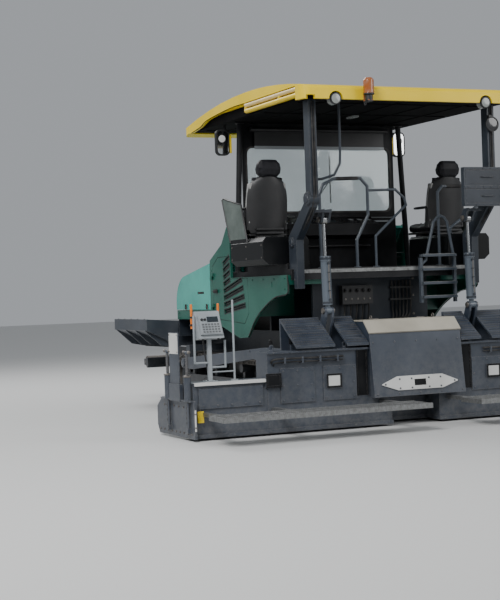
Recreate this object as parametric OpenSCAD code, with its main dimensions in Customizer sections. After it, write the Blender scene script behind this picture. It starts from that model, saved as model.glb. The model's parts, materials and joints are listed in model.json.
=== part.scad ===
/* [Running gear] */
// Width of a track shoe
track_w = 305; // [280:5:320]
// Distance of each track's centre plane from the machine's centre plane
track_y = 985; // [940:5:1040]
// Radius of the sprocket and the idler, up to the inside of the track
wheel_r = 275; // [255:5:290]
// Distance between the sprocket's axle and the idler's axle
axle_gap = 2700; // [2500:20:2800]
// Place of the middle of the tracks along the machine
track_x = 340; // [300:10:380]
// Thickness of the track chain
link_t = 50; // [40:1:60]
// Height of the shoes' pads outside the chain
shoe_t = 45; // [30:1:60]
// Number of shoes on a track
shoe_count = 44; // [36:1:48]
// Number of road rollers on a side
roller_count = 7; // [5:1:8]
// Radius of a road roller
roller_r = 80; // [65:1:90]

/* [Chassis] */
// Thickness of the chassis plates
chassis_t = 60; // [40:2:80]
// Space between a chassis plate and its track
track_gap = 72; // [60:2:90]
// Height of the chassis plates' lower edge
belly_z = 300; // [270:5:330]
// Top of the conveyor's deck
deck_z = 560; // [540:5:580]
// Inner height of the conveyor tunnel
tunnel_h = 400; // [360:5:420]
// Spacing of the conveyor's slats
slat_pitch = 250; // [200:10:300]
// Radius of the lashing eyes
lashing_r = 25; // [20:1:30]

/* [Hopper] */
// Length of the hopper's wings
hopper_len = 1340; // [1240:10:1400]
// Distance of an open wing's lip from its hinge, across the machine
wing_reach = 892; // [840:4:920]
// Height of an open wing's lip above its hinge
wing_rise = 400; // [340:10:440]
// Thickness of the wings' steel
wing_t = 16; // [12:1:24]
// Radius of the push rollers
push_roller_r = 85; // [70:1:90]
// Height of the push rollers' axles
push_z = 560; // [540:5:600]

/* [Body] */
// How far the body's panels stand out past the tracks' centre planes
body_over = 260; // [240:5:280]
// Thickness of the body's panels
panel_t = 30; // [20:1:40]
// Length of the engine bay, from the platform's front wall to the hopper
bay_len = 1920; // [1860:10:1960]
// Length of the part of the side panels ahead of the front wall
cheek_len = 695; // [660:5:720]
// Height of the hood's lower edge below the platform's floor
skirt_drop = 385; // [370:5:400]
// Number of louvres in a side door
louvre_count = 8; // [6:1:9]
// Width of a louvre's slot
louvre_w = 46; // [36:1:52]

/* [Platform] */
// Underside of the platform's floor
floor_z = 1700; // [1680:5:1740]
// Thickness of the platform's floor
floor_t = 60; // [40:2:70]
// Rear edge of the platform
platform_rear = -1900; // [-1920:5:-1880]
// Length of the platform
platform_len = 1600; // [1560:10:1640]
// Height of the front wall above the floor
dash_h = 680; // [640:5:720]
// Height of the windscreen above the front wall
screen_h = 900; // [840:10:940]
// Width of a seat
seat_w = 480; // [440:5:520]
// Height of the seat cushions above the floor
seat_h = 530; // [500:5:560]
// Height of the headrests' top above the seat cushions
back_h = 750; // [700:5:790]
// Height of the boxes under the seats
pod_h = 370; // [340:5:385]
// Radius of the handrails' tube
tube_r = 18; // [14:1:22]

/* [Roof] */
// Height of the roof's crown above the floor
roof_h = 2070; // [2020:5:2120]
// Height of the roof's rim, from its lower edge to the crown
roof_rim = 270; // [240:5:300]
// Length of the roof
roof_len = 3460; // [3300:10:3600]
// How far the roof stands out behind the platform
roof_over = 700; // [660:10:740]
// Half width of the roof
roof_y = 1350; // [1320:5:1400]
// Thickness of the roof's shell
roof_t = 45; // [30:1:60]
// Width of a rear post, seen from the side
post_w = 125; // [100:5:140]
// Thickness of a rear post, seen from behind
post_t = 90; // [70:5:100]
// Radius of a work lamp
lamp_r = 62; // [50:1:70]
// Distance of the work lamps from the centre plane
lamp_y = 950; // [900:10:1000]

/* [Screed] */
// Height of the tow arms' front pins
tow_z = 620; // [590:5:640]
// Place of the tow arms' front pins behind the hopper
tow_back = 390; // [370:5:420]
// Thickness of a tow arm
tow_t = 60; // [50:2:75]
// Radius of the tow arms' pins
tow_pin_r = 35; // [25:1:40]
// Underside of the screed plates
sole_z = 25; // [10:1:40]
// Thickness of the screed plates
sole_t = 40; // [20:1:50]
// Half width of the basic screed
base_y = 1500; // [1440:10:1520]
// Depth of the basic screed, front to back
base_depth = 280; // [260:5:300]
// Height of the basic screed's top
base_top = 860; // [840:5:880]
// Depth of a sliding screed, front to back
ext_depth = 320; // [280:10:360]
// How far a sliding screed is drawn out
ext_out = 300; // [290:10:400]
// Height of a sliding screed's top
ext_top = 880; // [860:5:890]
// Width of the bolted extension at the end of a sliding screed
bolt_on_w = 850; // [700:10:900]
// Height of the bolted extension's top
bolt_on_top = 600; // [560:5:640]
// Half width of the centre cover
cover_y = 580; // [540:5:600]
// Height of the centre cover's top edge
cover_top = 1170; // [1150:5:1190]
// Height of the walkway boards' top
board_z = 300; // [280:5:315]
// Depth of the walkway boards
board_d = 400; // [340:10:420]
// Distance of the walkway boards behind the sliding screeds
board_back = 434; // [400:2:460]
// Radius of an auger's flight
auger_r = 200; // [180:5:205]
// Height of the augers' axle
auger_z = 420; // [410:5:440]
// Length of one turn of an auger's flight
auger_pitch = 320; // [260:10:360]
// Thickness of an auger's flight
flight_t = 12; // [8:1:20]

/* [Lift cylinders] */
// Distance of the lift cylinders from the centre plane
lift_y = 930; // [910:5:950]
// Radius of the lift cylinders' pins
lift_pin_r = 25; // [18:1:28]
// Radius of a lift cylinder's barrel
barrel_r = 55; // [45:1:60]
// Length of a lift cylinder's barrel from its pin
barrel_len = 590; // [570:5:610]
// Radius of a lift cylinder's rod
rod_r = 18; // [14:1:24]

/* [Hidden] */
$fn = 40;

yellow = [0.93, 0.72, 0.08];
green = [0.10, 0.42, 0.34];
mint = [0.45, 0.72, 0.62];
slate = [0.22, 0.26, 0.31];
dark = [0.10, 0.10, 0.11];
steel = [0.62, 0.64, 0.66];
cream = [0.82, 0.78, 0.68];

// Gap between pieces that rest on each other, running clearance, and gap of moving panels
fit = 0.3;
run = 0.05;
gap = 6;

// Running gear
chain_r = wheel_r + link_t;
shoe_r = chain_r + shoe_t;
axle_z = shoe_r;
track_top = 2 * shoe_r;
track_rear = track_x - axle_gap / 2 - shoe_r;
shoe_pitch = (2 * axle_gap + 2 * PI * chain_r) / shoe_count;
beam_in = track_y - track_w / 2 + 15;
beam_out = track_y + track_w / 2 - 15;
beam_z0 = link_t + shoe_t + 2 * roller_r - 20;
beam_z1 = axle_z + 90;

// Chassis, hopper and augers
chassis_y = track_y - track_w / 2 - track_gap;
inner_y = chassis_y - chassis_t;
dash_x = platform_rear + platform_len;
bulkhead_x = dash_x + bay_len;
tunnel_z = deck_z + tunnel_h;
chassis_rear = platform_rear + 400;
auger_x = track_rear - 45 - auger_r;
deck_rear = auger_x + auger_r + 15;
wing_hinge = [chassis_y - 20, track_top + 60];
wing_pin_r = 28;
sill_z = wing_hinge[1] - wing_pin_r - fit;
wing_rear = bulkhead_x + 115;
wing_front = wing_rear + hopper_len;
chassis_front = wing_front - 100;
pivot_x = chassis_front + 50;
roller_x = pivot_x + 105 + push_roller_r;

// Body and platform
body_y = track_y + body_over;
floor_y = body_y - panel_t - gap;
floor_top = floor_z + floor_t;
side_rear = platform_rear + 60;
side_front = dash_x + cheek_len;
skirt_z = floor_z - skirt_drop;
side_low = floor_z - 750;
hood_front = bulkhead_x - 20;
hood_pin = [hood_front + 24, skirt_z + 30];
bulkhead_top = skirt_z - 15;
dash_top = floor_top + dash_h;
screen_top = dash_top + screen_h;
seat_y = body_y - 45;
seat_x = platform_rear + 590;
seat_z = floor_top + seat_h;
pod_top = floor_top + pod_h;
roof_top = floor_top + roof_h;
roof_z = roof_top - roof_rim;
roof_rear = platform_rear - roof_over;
roof_front = roof_rear + roof_len;
lining_z = roof_z + 15;
pocket_z = roof_top - 150 - roof_t;
post_y = body_y - 105;
post_x = roof_rear + 270;

// Screed
tow_x = bulkhead_x - tow_back;
tow_y = body_y + 7;
base_front = auger_x - auger_r - 35;
base_rear = base_front - base_depth;
ext_front = base_rear - gap;
ext_back = ext_front - ext_depth;
ext_y1 = ext_out + base_y;
end_y = ext_y1 + bolt_on_w;
board_x = ext_back - board_back;
rear_x = board_x - board_d;
strip_z = [150, 700];
strip_h = 40;

// Lift cylinders
eye_half = 30;
lug_t = 24;
lug_half = eye_half + fit + lug_t;
pin_out = lug_half + 12;
lift_top = [post_x + 170, floor_top + 530];
lift_low = [base_rear - 60, base_top + 430];
lift_a = [lift_low[0], lift_y, lift_low[1]];
lift_b = [lift_top[0], lift_y, lift_top[1]];
lift_u = (lift_b - lift_a) / norm(lift_b - lift_a);

// A box between two corners
module slab(x0, x1, y0, y1, z0, z1) {
    translate([x0, y0, z0]) cube([x1 - x0, y1 - y0, z1 - z0]);
}
// A plate that stands along the machine, from points [x, z]
module plate_xz(y0, y1, pts) {
    translate([0, y1, 0]) rotate([90, 0, 0]) linear_extrude(y1 - y0) polygon(pts);
}
// A bar along the machine, from points [y, z]
module bar_x(x0, x1, pts) {
    translate([x0, 0, 0]) rotate([90, 0, 90]) linear_extrude(x1 - x0) polygon(pts);
}
// A round bar across the machine
module bar_y(x, z, y0, y1, r) {
    translate([x, y1, z]) rotate([90, 0, 0]) cylinder(h = y1 - y0, r = r);
}
// A round rod between two points
module rod(a, b, r) {
    v = b - a;
    len = norm(v);
    translate(a) rotate([0, acos(v[2] / len), atan2(v[1], v[0])]) cylinder(h = len, r = r);
}
// A rod along a list of points, with round corners
module rail(pts, r) {
    $fn = 22;
    for (i = [0 : len(pts) - 2]) rod(pts[i], pts[i + 1], r);
    if (len(pts) > 2) for (i = [1 : len(pts) - 2]) translate(pts[i]) sphere(r + 0.8);
}
// A rectangle with round corners, centred
module round_rect(w, h, r) {
    square([w - 2 * r, h], center = true);
    square([w, h - 2 * r], center = true);
    for (x = [-1, 1], y = [-1, 1]) translate([x * (w / 2 - r), y * (h / 2 - r)]) circle(r);
}
// Points of an arc about a centre, from one angle to another
function arc(c, r, a0, a1, n) =
    [for (i = [0 : n]) let (a = a0 + (a1 - a0) * i / n) [c[0] + r * cos(a), c[1] + r * sin(a)]];
// The left piece as it is, or its mirror image on the right
module side(s) {
    mirror([0, s < 0 ? 1 : 0, 0]) children();
}
module both() {
    side(1) children();
    side(-1) children();
}

// Place and direction [x, z, angle] at a distance along the track's loop
function loop_at(d, r) =
    d < axle_gap ? [-axle_gap / 2 + d, -r, 0]
    : d < axle_gap + PI * r
        ? let (a = (d - axle_gap) / r * 180 / PI)
          [axle_gap / 2 + r * sin(a), -r * cos(a), a]
    : d < 2 * axle_gap + PI * r
        ? [axle_gap / 2 - (d - axle_gap - PI * r), r, 180]
    : let (a = 180 + (d - 2 * axle_gap - PI * r) / r * 180 / PI)
      [-axle_gap / 2 + r * sin(a), -r * cos(a), a];

module stadium(r) {
    translate([-axle_gap / 2, 0]) circle(r, $fn = 72);
    translate([axle_gap / 2, 0]) circle(r, $fn = 72);
    translate([-axle_gap / 2, -r]) square([axle_gap, 2 * r]);
}

// The chain and its shoes, one closed loop
module track(s) {
    sink = 6;
    half = shoe_pitch * 0.43;
    color(dark) side(s)
        translate([track_x, track_y + track_w / 2, axle_z]) rotate([90, 0, 0])
            linear_extrude(track_w) difference() {
                union() {
                    stadium(chain_r);
                    for (i = [0 : shoe_count - 1]) {
                        p = loop_at((i + 0.5) * shoe_pitch, chain_r);
                        translate([p[0], p[1]]) rotate(p[2]) polygon([[-half, sink], [-half, -shoe_t * 0.5],
                            [-half + 14, -shoe_t], [half - 14, -shoe_t], [half, -shoe_t * 0.5], [half, sink]]);
                    }
                }
                stadium(wheel_r);
                translate([-axle_gap, -axle_z - shoe_t]) square([2 * axle_gap, shoe_t]);
            }
}

// Beam, sprocket, idler and rollers of one track
module undercarriage(s) {
    cheek = 22;
    wheel_w = 150;
    half = axle_gap / 2;
    free_r = wheel_r - fit;
    roller_z = link_t + shoe_t + roller_r + fit;
    color(slate) side(s) {
        for (y = [beam_in, beam_out - cheek])
            plate_xz(y, y + cheek, [
                [track_x - half - 70, axle_z - 70], [track_x - half + 300, beam_z0],
                [track_x + half - 300, beam_z0], [track_x + half + 70, axle_z - 70],
                [track_x + half + 70, axle_z + 60], [track_x + half - 330, beam_z1],
                [track_x - half + 330, beam_z1], [track_x - half - 70, axle_z + 60]
            ]);
        slab(track_x - half + wheel_r + 40, track_x + half - wheel_r - 40,
            beam_in + 5, beam_out - 5, beam_z0 + 20, beam_z1 - 15);
        for (x = [track_x - half, track_x + half]) {
            bar_y(x, axle_z, beam_in, beam_out + 6, 62);
            difference() {
                bar_y(x, axle_z, track_y - wheel_w / 2, track_y + wheel_w / 2, free_r);
                for (a = [0 : 60 : 300])
                    bar_y(x + free_r * 0.62 * cos(a), axle_z + free_r * 0.62 * sin(a),
                        track_y - wheel_w, track_y + wheel_w, free_r * 0.2);
            }
        }
        for (i = [0 : roller_count - 1]) {
            x = track_x - half + 260 + i * (axle_gap - 520) / (roller_count - 1);
            bar_y(x, roller_z, beam_in + 30, beam_out - 30, roller_r);
        }
        for (x = [track_x - half / 3, track_x + half / 3]) {
            bar_y(x, axle_z + wheel_r - fit - 55, beam_in + 40, beam_out - 40, 55);
            slab(x - 30, x + 30, track_y - 60, track_y + 60, beam_z1 - 20, axle_z + wheel_r - 60);
        }
    }
}

// Lashing eyes, points [x, z] on the chassis plates
lashing_eyes = [[chassis_rear + 45, (tunnel_z + base_top + 20) / 2], [chassis_front - 460, push_z - 105]];
hood_hinges = [-920, 880];
// Side plates, conveyor tunnel, hopper's back wall and the platform's supports
module chassis() {
    color(slate) difference() {
        chassis_body();
        for (p = lashing_eyes) bar_y(p[0], p[1], -chassis_y - 5, chassis_y + 5, lashing_r);
    }
}
module chassis_body() {
    wall = 20;
    cross = inner_y + 5;
    auger_clear = auger_z + auger_r + 20;
    both() {
        plate_xz(inner_y, chassis_y, [
            [chassis_rear, auger_clear + 20], [deck_rear, auger_clear],
            [deck_rear, deck_z - 80], [deck_rear + 160, belly_z],
            [track_x + axle_gap / 2, belly_z], [chassis_front, push_z - 130],
            [chassis_front, sill_z - 40], [chassis_front - 60, sill_z], [bulkhead_x, sill_z],
            [bulkhead_x, tunnel_z + 80], [chassis_rear, tunnel_z + 80]
        ]);
        for (x = [track_x - 700, track_x + 700])
            slab(x - 160, x + 160, chassis_y - 5, beam_in, beam_z0 + 20, beam_z1 - 20);
        slab(tow_x - 60, tow_x + 60, chassis_y - 5, tow_y - fit, track_top + 30, track_top + 110);
        slab(tow_x - 60, tow_x + 60, track_y + track_w / 2 + 20, tow_y - fit, tow_z - 60, track_top + 40);
        bar_y(tow_x, tow_z, tow_y - 30, tow_y + tow_t + 20, tow_pin_r);
        slab(bulkhead_x - wall, bulkhead_x, inner_y, body_y - panel_t - fit, tunnel_z, bulkhead_top);
        plate_xz(inner_y, body_y - panel_t - 20, [[bulkhead_x - 5, bulkhead_top - 20],
            [wing_rear - 12, bulkhead_top - 260], [wing_rear - 12, sill_z + 60], [wing_rear - 26, sill_z + 60],
            [wing_rear - 26, bulkhead_top - 264], [bulkhead_x - 5, bulkhead_top - 40]]);
    }
    slab(deck_rear, chassis_front - 20, -cross, cross, deck_z - 60, deck_z - 40);
    slab(chassis_front - 30, chassis_front, -cross, cross, push_z - 130, deck_z + 70);
    for (z = [push_z - 80, push_z + 50])
        slab(chassis_front - 5, pivot_x + 30, -60, 60, z, z + 30);
    translate([pivot_x, 0, push_z - 80]) cylinder(h = 160, r = 30);
    slab(chassis_rear, bulkhead_x, -cross, cross, tunnel_z, tunnel_z + wall);
    slab(bulkhead_x - wall, bulkhead_x, -cross, cross, tunnel_z, bulkhead_top);
    for (y = hood_hinges) {
        for (w = [y - 20 - fit, y + 40 + fit])
            plate_xz(w, w + 20, [[bulkhead_x - 14, bulkhead_top - 20], [bulkhead_x - 2, bulkhead_top - 20],
                [hood_pin[0] + 10, hood_pin[1] - 5], [hood_pin[0] + 10, hood_pin[1] + 8],
                [hood_pin[0] - 8, hood_pin[1] + 8], [bulkhead_x - 14, bulkhead_top + 5]]);
        bar_y(hood_pin[0], hood_pin[1], y - 20, y + 60, 8);
    }
    for (x = [chassis_rear, dash_x - 40])
        slab(x, x + 40, -chassis_y, chassis_y, tunnel_z + wall - 5, floor_z - fit);
    for (x = [deck_rear + 400, track_x, track_x + 900])
        slab(x, x + 120, -cross, cross, belly_z + 20, belly_z + 100);
}

// The engine with its ancillaries, as one plain block
module engine_block() {
    color(dark) slab(dash_x + 120, dash_x + 1300, -430, 430, tunnel_z + 20 + fit, floor_z - 100);
}

// Deck, slats and chains of the conveyor
module conveyor() {
    half = inner_y - fit;
    slat_w = 40;
    x1 = chassis_front - 40;
    color(dark) {
        slab(deck_rear + 10, x1, -half, half, deck_z - 40 + fit, deck_z - 12);
        for (x = [deck_rear + 60 : slat_pitch : x1 - 80]) both()
            slab(x, x + slat_w, 30, half - 60, deck_z - 15, deck_z + 25);
        both() for (y = [45, half - 90])
            slab(deck_rear + 30, x1 - 50, y, y + 30, deck_z - 15, deck_z + 10);
        slab(deck_rear + 10, x1 - 20, -18, 18, deck_z - 15, deck_z + 60);
    }
}

// Outline of the side body, points [x, z]
function side_outline() = concat(
    [[side_rear, floor_z - fit]],
    arc([side_rear - 45, side_low - 1064], 1605, 88.4, 43.2, 10),
    [[dash_x - 180, side_low + 22], [side_front, floor_z - 510], [hood_front - 20, floor_z - 510],
     [hood_front - 20, skirt_z - gap], [side_front, skirt_z - gap], [side_front, floor_z + 230],
     [dash_x + 300, floor_z + 420], [dash_x + 130, floor_z + 620], [dash_x + 40, floor_z + 640],
     [dash_x + 40, floor_z - fit]]
);
door_x0 = dash_x - 460;
door_x1 = side_front - 85;
door_z0 = side_low + 200;
door_z1 = floor_z + 260;
door_hinge_y = body_y + 18;
hinge_x = door_x1 + gap / 2;
door_pin_r = 12;
hinge_h = 40;
hinge_zs = [door_z0 + 160, door_z0 + 540];
module door_outline(grow) {
    polygon([
        [door_x0 - grow, door_z0 + 120 - grow], [door_x0 + 120 - grow, door_z0 - grow],
        [door_x1 + grow, door_z0 + 60 - grow], [door_x1 + grow, door_z1 - 110 + grow],
        [door_x1 - 190 + grow, door_z1 + grow], [dash_x + 60 - grow, door_z1 + grow],
        [dash_x + 60 - grow, floor_z - 15 + grow], [door_x0 - grow, floor_z - 15 + grow]
    ]);
}
// Fixed panels beside the engine, with the opening of the side door
module side_body(s) {
    rib_z = skirt_z - 85;
    color(green) side(s) {
        difference() {
            plate_xz(body_y - panel_t, body_y, side_outline());
            translate([0, body_y + 5, 0]) rotate([90, 0, 0]) linear_extrude(panel_t + 10)
                door_outline(gap);
        }
        slab(side_rear, side_rear + 30, chassis_y + fit, body_y - panel_t + 5, floor_z - 110, floor_z - fit);
        slab(dash_x - 710, dash_x - 680, chassis_y + fit, body_y - panel_t + 5, rib_z, floor_z - fit);
        for (x = [side_front + 20, hood_front - 60])
            slab(x, x + 30, chassis_y + fit, body_y - panel_t + 5, rib_z, skirt_z - gap);
        for (z = hinge_zs) {
            translate([hinge_x, door_hinge_y, z]) cylinder(h = hinge_h, r = door_pin_r);
            slab(hinge_x, door_x1 + 45, body_y + 8, door_hinge_y + 6, z, z + hinge_h);
            slab(door_x1 + gap + 8, door_x1 + 45, body_y - 5, body_y + 10, z, z + hinge_h);
        }
    }
}
// Louvred service door in the side of the engine bay, the slots backed by a filter plate
module side_door(s) {
    z0 = door_z0 + 140;
    pitch = (door_z1 - door_z0 - 225) / (louvre_count - 1);
    louvre_x = dash_x + 262;
    color(green) side(s) difference() {
        union() {
            translate([0, body_y, 0]) rotate([90, 0, 0]) linear_extrude(panel_t)
                door_outline(0);
            for (z = hinge_zs) translate([0, 0, hinge_h + fit]) {
                translate([hinge_x, door_hinge_y, z]) cylinder(h = hinge_h, r = door_pin_r);
                slab(door_x1 - 45, hinge_x, body_y + 8, door_hinge_y + 6, z, z + hinge_h);
                slab(door_x1 - 45, door_x1 - 5, body_y - 5, body_y + 10, z, z + hinge_h);
            }
            slab(door_x1 - 150, door_x1 - 60, body_y - 2, body_y + 16, door_z0 + 380, door_z0 + 410);
        }
        for (i = [0 : louvre_count - 1]) {
            z = z0 + i * pitch;
            len = z < floor_z - 110 ? 640 - 22 * i : 205;
            translate([louvre_x, body_y + 5, z]) rotate([90, 0, 0]) linear_extrude(panel_t - 3)
                rotate(-7 - 16 * i / (louvre_count - 1)) translate([-len, -louvre_w / 2]) square([len, louvre_w]);
        }
    }
}

// Engine hood: a lid hinged at its front upper corner
module hood() {
    wall = panel_t - 5;
    x0 = side_front + gap;
    z0 = floor_z + 198;
    nose = 360;
    nose_c = [hood_front - nose, skirt_z + 85];
    cowl = [[dash_x + 70, floor_z + 610], [dash_x + 130, floor_z + 590], [dash_x + 300, floor_z + 390],
        [side_front + 20, z0 - 3]];
    color(mint) {
        difference() {
            plate_xz(-body_y, body_y, concat([[x0, skirt_z], [x0, z0]],
                arc(nose_c, nose, 76, 0, 12), [[hood_front, skirt_z]]));
            plate_xz(-body_y + wall, body_y - wall, concat([[x0 - 5, skirt_z - 5], [x0 - 5, z0 - wall]],
                arc(nose_c, nose - wall, 76, 0, 12), [[hood_front - wall, skirt_z - 5]]));
            both() slab(x0 + 220, x0 + 440, body_y - 8, body_y + 5, skirt_z + 200, skirt_z + 230);
        }
        plate_xz(-floor_y, floor_y, concat(cowl, [[side_front + 20, z0 - wall - 3],
            [dash_x + 300, floor_z + 365], [dash_x + 130, floor_z + 562], [dash_x + 70, floor_z + 582]]));
        for (y = hood_hinges) difference() {
            union() {
                bar_y(hood_pin[0], hood_pin[1], y, y + 40, 15);
                slab(hood_front - 20, hood_pin[0], y, y + 40, hood_pin[1] - 12, hood_pin[1] + 12);
            }
            bar_y(hood_pin[0], hood_pin[1], y - 5, y + 45, 8 + run);
        }
    }
}

// Floor of the operator's platform with its rear skirt and side curbs
module platform() {
    curb_x = platform_rear + 40 + post_w / 2 + gap;
    color(dark) {
        slab(platform_rear, dash_x + 40, -floor_y, floor_y, floor_z, floor_top);
        slab(platform_rear, platform_rear + 30, -floor_y, floor_y, floor_z - 60, floor_z + 5);
        both() slab(curb_x, dash_x - 400, floor_y - 40, floor_y, floor_top - 5, floor_top + 60);
    }
}
// Front wall of the platform with its instrument panel, vents and control stand
module dash() {
    stand_x = dash_x - 330;
    wall_y = screen_w / 2 + 10;
    vent_y = wall_y - 360;
    color(dark) {
        slab(dash_x, dash_x + 35, -wall_y, wall_y, floor_top + fit, dash_top);
        plate_xz(-vent_y, vent_y, [[dash_x + 5, dash_top - 290], [dash_x - 220, dash_top - 250],
            [dash_x - 190, dash_top - 110], [dash_x + 5, dash_top - 40]]);
        for (z = [0 : 3])
            slab(dash_x - 12, dash_x + 5, vent_y + 20, wall_y - 20, dash_top - 220 + z * 45, dash_top - 200 + z * 45);
        slab(dash_x - 30, dash_x + 5, 10 - wall_y, wall_y - 10, dash_top - 20, dash_top);
        translate([stand_x, 620, floor_top + fit]) cylinder(h = 560, r = 42);
        plate_xz(430, 810, [[stand_x - 130, floor_top + 560], [stand_x + 90, floor_top + 640],
            [stand_x + 90, floor_top + 580], [stand_x - 120, floor_top + 500]]);
    }
}

// Seat with its back, bolsters, headrest, armrests and pedestal
module seat(s) {
    h = seat_w / 2;
    top = seat_z + back_h;
    arm_y = h + 5;
    color(dark) side(s) translate([seat_x, seat_y, 0]) {
        slab(60, 560, -h, h, seat_z - 110, seat_z);
        plate_xz(-h + 30, h - 30, [[0, seat_z - 90], [110, seat_z - 90], [50, top - 190], [-70, top - 190]]);
        for (y = [-h, h - 60])
            plate_xz(y, y + 60, [[-20, seat_z - 60], [150, seat_z - 60], [150, seat_z + 40],
                [85, top - 320], [60, top - 270], [-60, top - 230], [-75, top - 260]]);
        translate([-105, 0, top - 130]) rotate([0, 84, 0]) linear_extrude(110) round_rect(250, 252, 70);
        slab(120, 460, -150, 150, pod_top + fit, seat_z - 100);
        for (y = [-arm_y - 15, arm_y - 15])
            slab(60, 350, y, y + 30, seat_z + 170, seat_z + 205);
        for (y = [-arm_y - 15, arm_y - 25])
            slab(40, 100, y, y + 40, seat_z - 60, seat_z + 200);
    }
}
// Box under the seat with the outer guard panel and its rim
module seat_pod(s) {
    x0 = platform_rear + 140;
    x1 = dash_x - 560;
    y0 = seat_y - 280;
    y1 = seat_y + 290;
    z0 = floor_top + 60 + fit;
    guard = [[x1 - 30, pod_top - 60], [x1 + 10, pod_top - 30], [x1 + 220, pod_top + 490],
        [x1 + 170, pod_top + 500], [x1 - 330, pod_top + 395], [x1 - 480, pod_top - 60]];
    color(dark) side(s) {
        bar_x(x0, x1, [[y0, floor_top + fit], [y0, pod_top - 30], [y0 + 30, pod_top], [y1 - 40, pod_top],
            [y1, pod_top - 50], [y1, z0 + 60], [y1 - 70, z0], [floor_y - 40 - fit, z0],
            [floor_y - 40 - fit, floor_top + fit]]);
        plate_xz(y1 - 12, y1 - 4, guard);
        rail([for (i = [1 : 4]) [guard[i][0], y1 - 6, guard[i][1]]], 9);
        slab(x0 + 40, x0 + 110, y1 - 200, y1 - 130, pod_top - 5, pod_top + 12);
    }
}

// Rear posts of the roof, swept forward at the foot, with the lift cylinders' brackets
module rear_posts() {
    h = post_w / 2;
    foot = platform_rear + 40;
    bend = floor_top + 780;
    in_y = post_y - post_t / 2;
    pipe_x = post_x + 30;
    color(slate) {
        both() {
            plate_xz(in_y, post_y + post_t / 2, [
                [post_x - h, lining_z - fit], [post_x - h, bend], [post_x - h + 40, bend - 120],
                [foot - h - 70, floor_top + 320], [foot - h - 60, floor_z - 160], [foot - 50, floor_z - 160],
                [platform_rear - fit, floor_z - 100], [platform_rear - fit, floor_top + fit],
                [foot + h, floor_top + fit], [foot + h, floor_top + 360],
                [post_x + h + 60, bend - 70], [post_x + h, bend + 40], [post_x + h, lining_z - fit]
            ]);
            bar_y(post_x + 20, bend - 30, in_y - 14, post_y + post_t / 2 + 14, 78);
            bar_y(foot - 40, floor_top + 300, in_y - 14, post_y + post_t / 2 + 14, 55);
            for (y = [lift_y - lug_half, lift_y + eye_half + fit])
                plate_xz(y, y + lug_t, [[lift_top[0] - 48, lift_top[1] - 34], [lift_top[0] + 34, lift_top[1] - 44],
                    [lift_top[0] + 44, lift_top[1] + 34], [lift_top[0] - 20, lift_top[1] + 110],
                    [lift_top[0] - 110, lift_top[1] + 110]]);
            slab(lift_top[0] - 105, lift_top[0] - 5, lift_y - lug_half, in_y + 20, lift_top[1] + 75, lift_top[1] + 105);
            bar_y(lift_top[0], lift_top[1], lift_y - pin_out, lift_y + pin_out, lift_pin_r);
        }
        rail([[pipe_x, in_y + 10, bend + 180], [pipe_x, in_y - 90, bend + 186], [pipe_x, in_y - 245, bend + 230],
            [pipe_x, in_y - 322, bend + 360], [pipe_x, in_y - 330, bend + 550], [pipe_x, in_y - 330, lining_z - fit]],
            tube_r - 4);
        locker();
    }
}
// Flat locker behind the right rear post
module locker() {
    x = post_x - post_w / 2 - 60;
    z0 = floor_top + 650;
    y0 = -post_y - 190;
    side(1) {
        slab(x, x + 64, y0, y0 + 610, z0, z0 + 440);
        for (z = [z0, z0 + 200, z0 + 410]) slab(x - 8, x + 5, y0, y0 + 610, z, z + 30);
    }
}
module front_posts() {
    x = dash_x - 60;
    foot_h = 12;
    foot_y = floor_y - 19;
    head_y = screen_w / 2 + 50;
    color(dark) both() {
        rod([x, foot_y, floor_top + 4], [x, head_y, lining_z - 4], 34);
        translate([x, foot_y, floor_top + fit]) cylinder(h = foot_h, r = 55);
        translate([x, head_y, lining_z - fit - foot_h]) cylinder(h = foot_h, r = 55);
    }
}
screen_x = dash_x + 17;
screen_w = 2100;
frame_w = 45;
module screen_hole(grow) {
    translate([screen_x, 0, (dash_top + screen_top) / 2]) rotate([90, 0, 90])
        linear_extrude(60, center = true)
            round_rect(screen_w - 2 * frame_w + 2 * grow, screen_h - 2 * frame_w + 2 * grow, 90);
}
module windscreen_frame() {
    color(dark) difference() {
        slab(dash_x, dash_x + 35, -screen_w / 2, screen_w / 2, dash_top + fit, lining_z - fit);
        screen_hole(0);
    }
}
module windscreen_glass() {
    color([0.7, 0.8, 0.85, 0.35]) intersection() {
        slab(screen_x - 3, screen_x + 3, -screen_w / 2, screen_w / 2, dash_top, screen_top);
        screen_hole(-fit);
    }
}

// Outline of the roof from the side, points [x, z]: rear face, crown and front visor
function roof_outline() = let (crown = roof_rear + 0.42 * roof_len, tail = roof_top - 125) concat(
    [[roof_rear, roof_z], [roof_rear, tail - 30], [roof_rear + 12, tail - 8], [roof_rear + 40, tail + 8]],
    [for (i = [1 : 5]) [roof_rear + 40 + (crown - roof_rear - 40) * i / 5,
        roof_top - (roof_top - tail - 8) * (1 - i / 5) * (1 - i / 5)]],
    [for (i = [1 : 5]) [crown + (roof_front - 90 - crown) * i / 5, roof_top - 190 * (i / 5) * (i / 5)]],
    [[roof_front - 20, roof_z + 30], [roof_front, roof_z - 5], [roof_front - 30, roof_z - 30],
     [roof_front - 160, roof_z]]
);
module roof_plan(inset, r) {
    x0 = roof_rear + inset;
    x1 = roof_front - inset;
    translate([(x0 + x1) / 2, 0]) round_rect(x1 - x0, 2 * (roof_y - inset), r);
}
module pocket_plan(inset, x0, x1) {
    intersection() {
        roof_plan(inset, 80);
        translate([x0, -roof_y]) square([x1 - x0, 2 * roof_y]);
    }
}
awning_x0 = roof_rear + 180;
awning_x1 = roof_rear + 1550;
awning_r = 24;
lining_edge = max(fit, 2 * awning_r + 2 + gap - roof_t);
rim_z = roof_top - 118;
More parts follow.
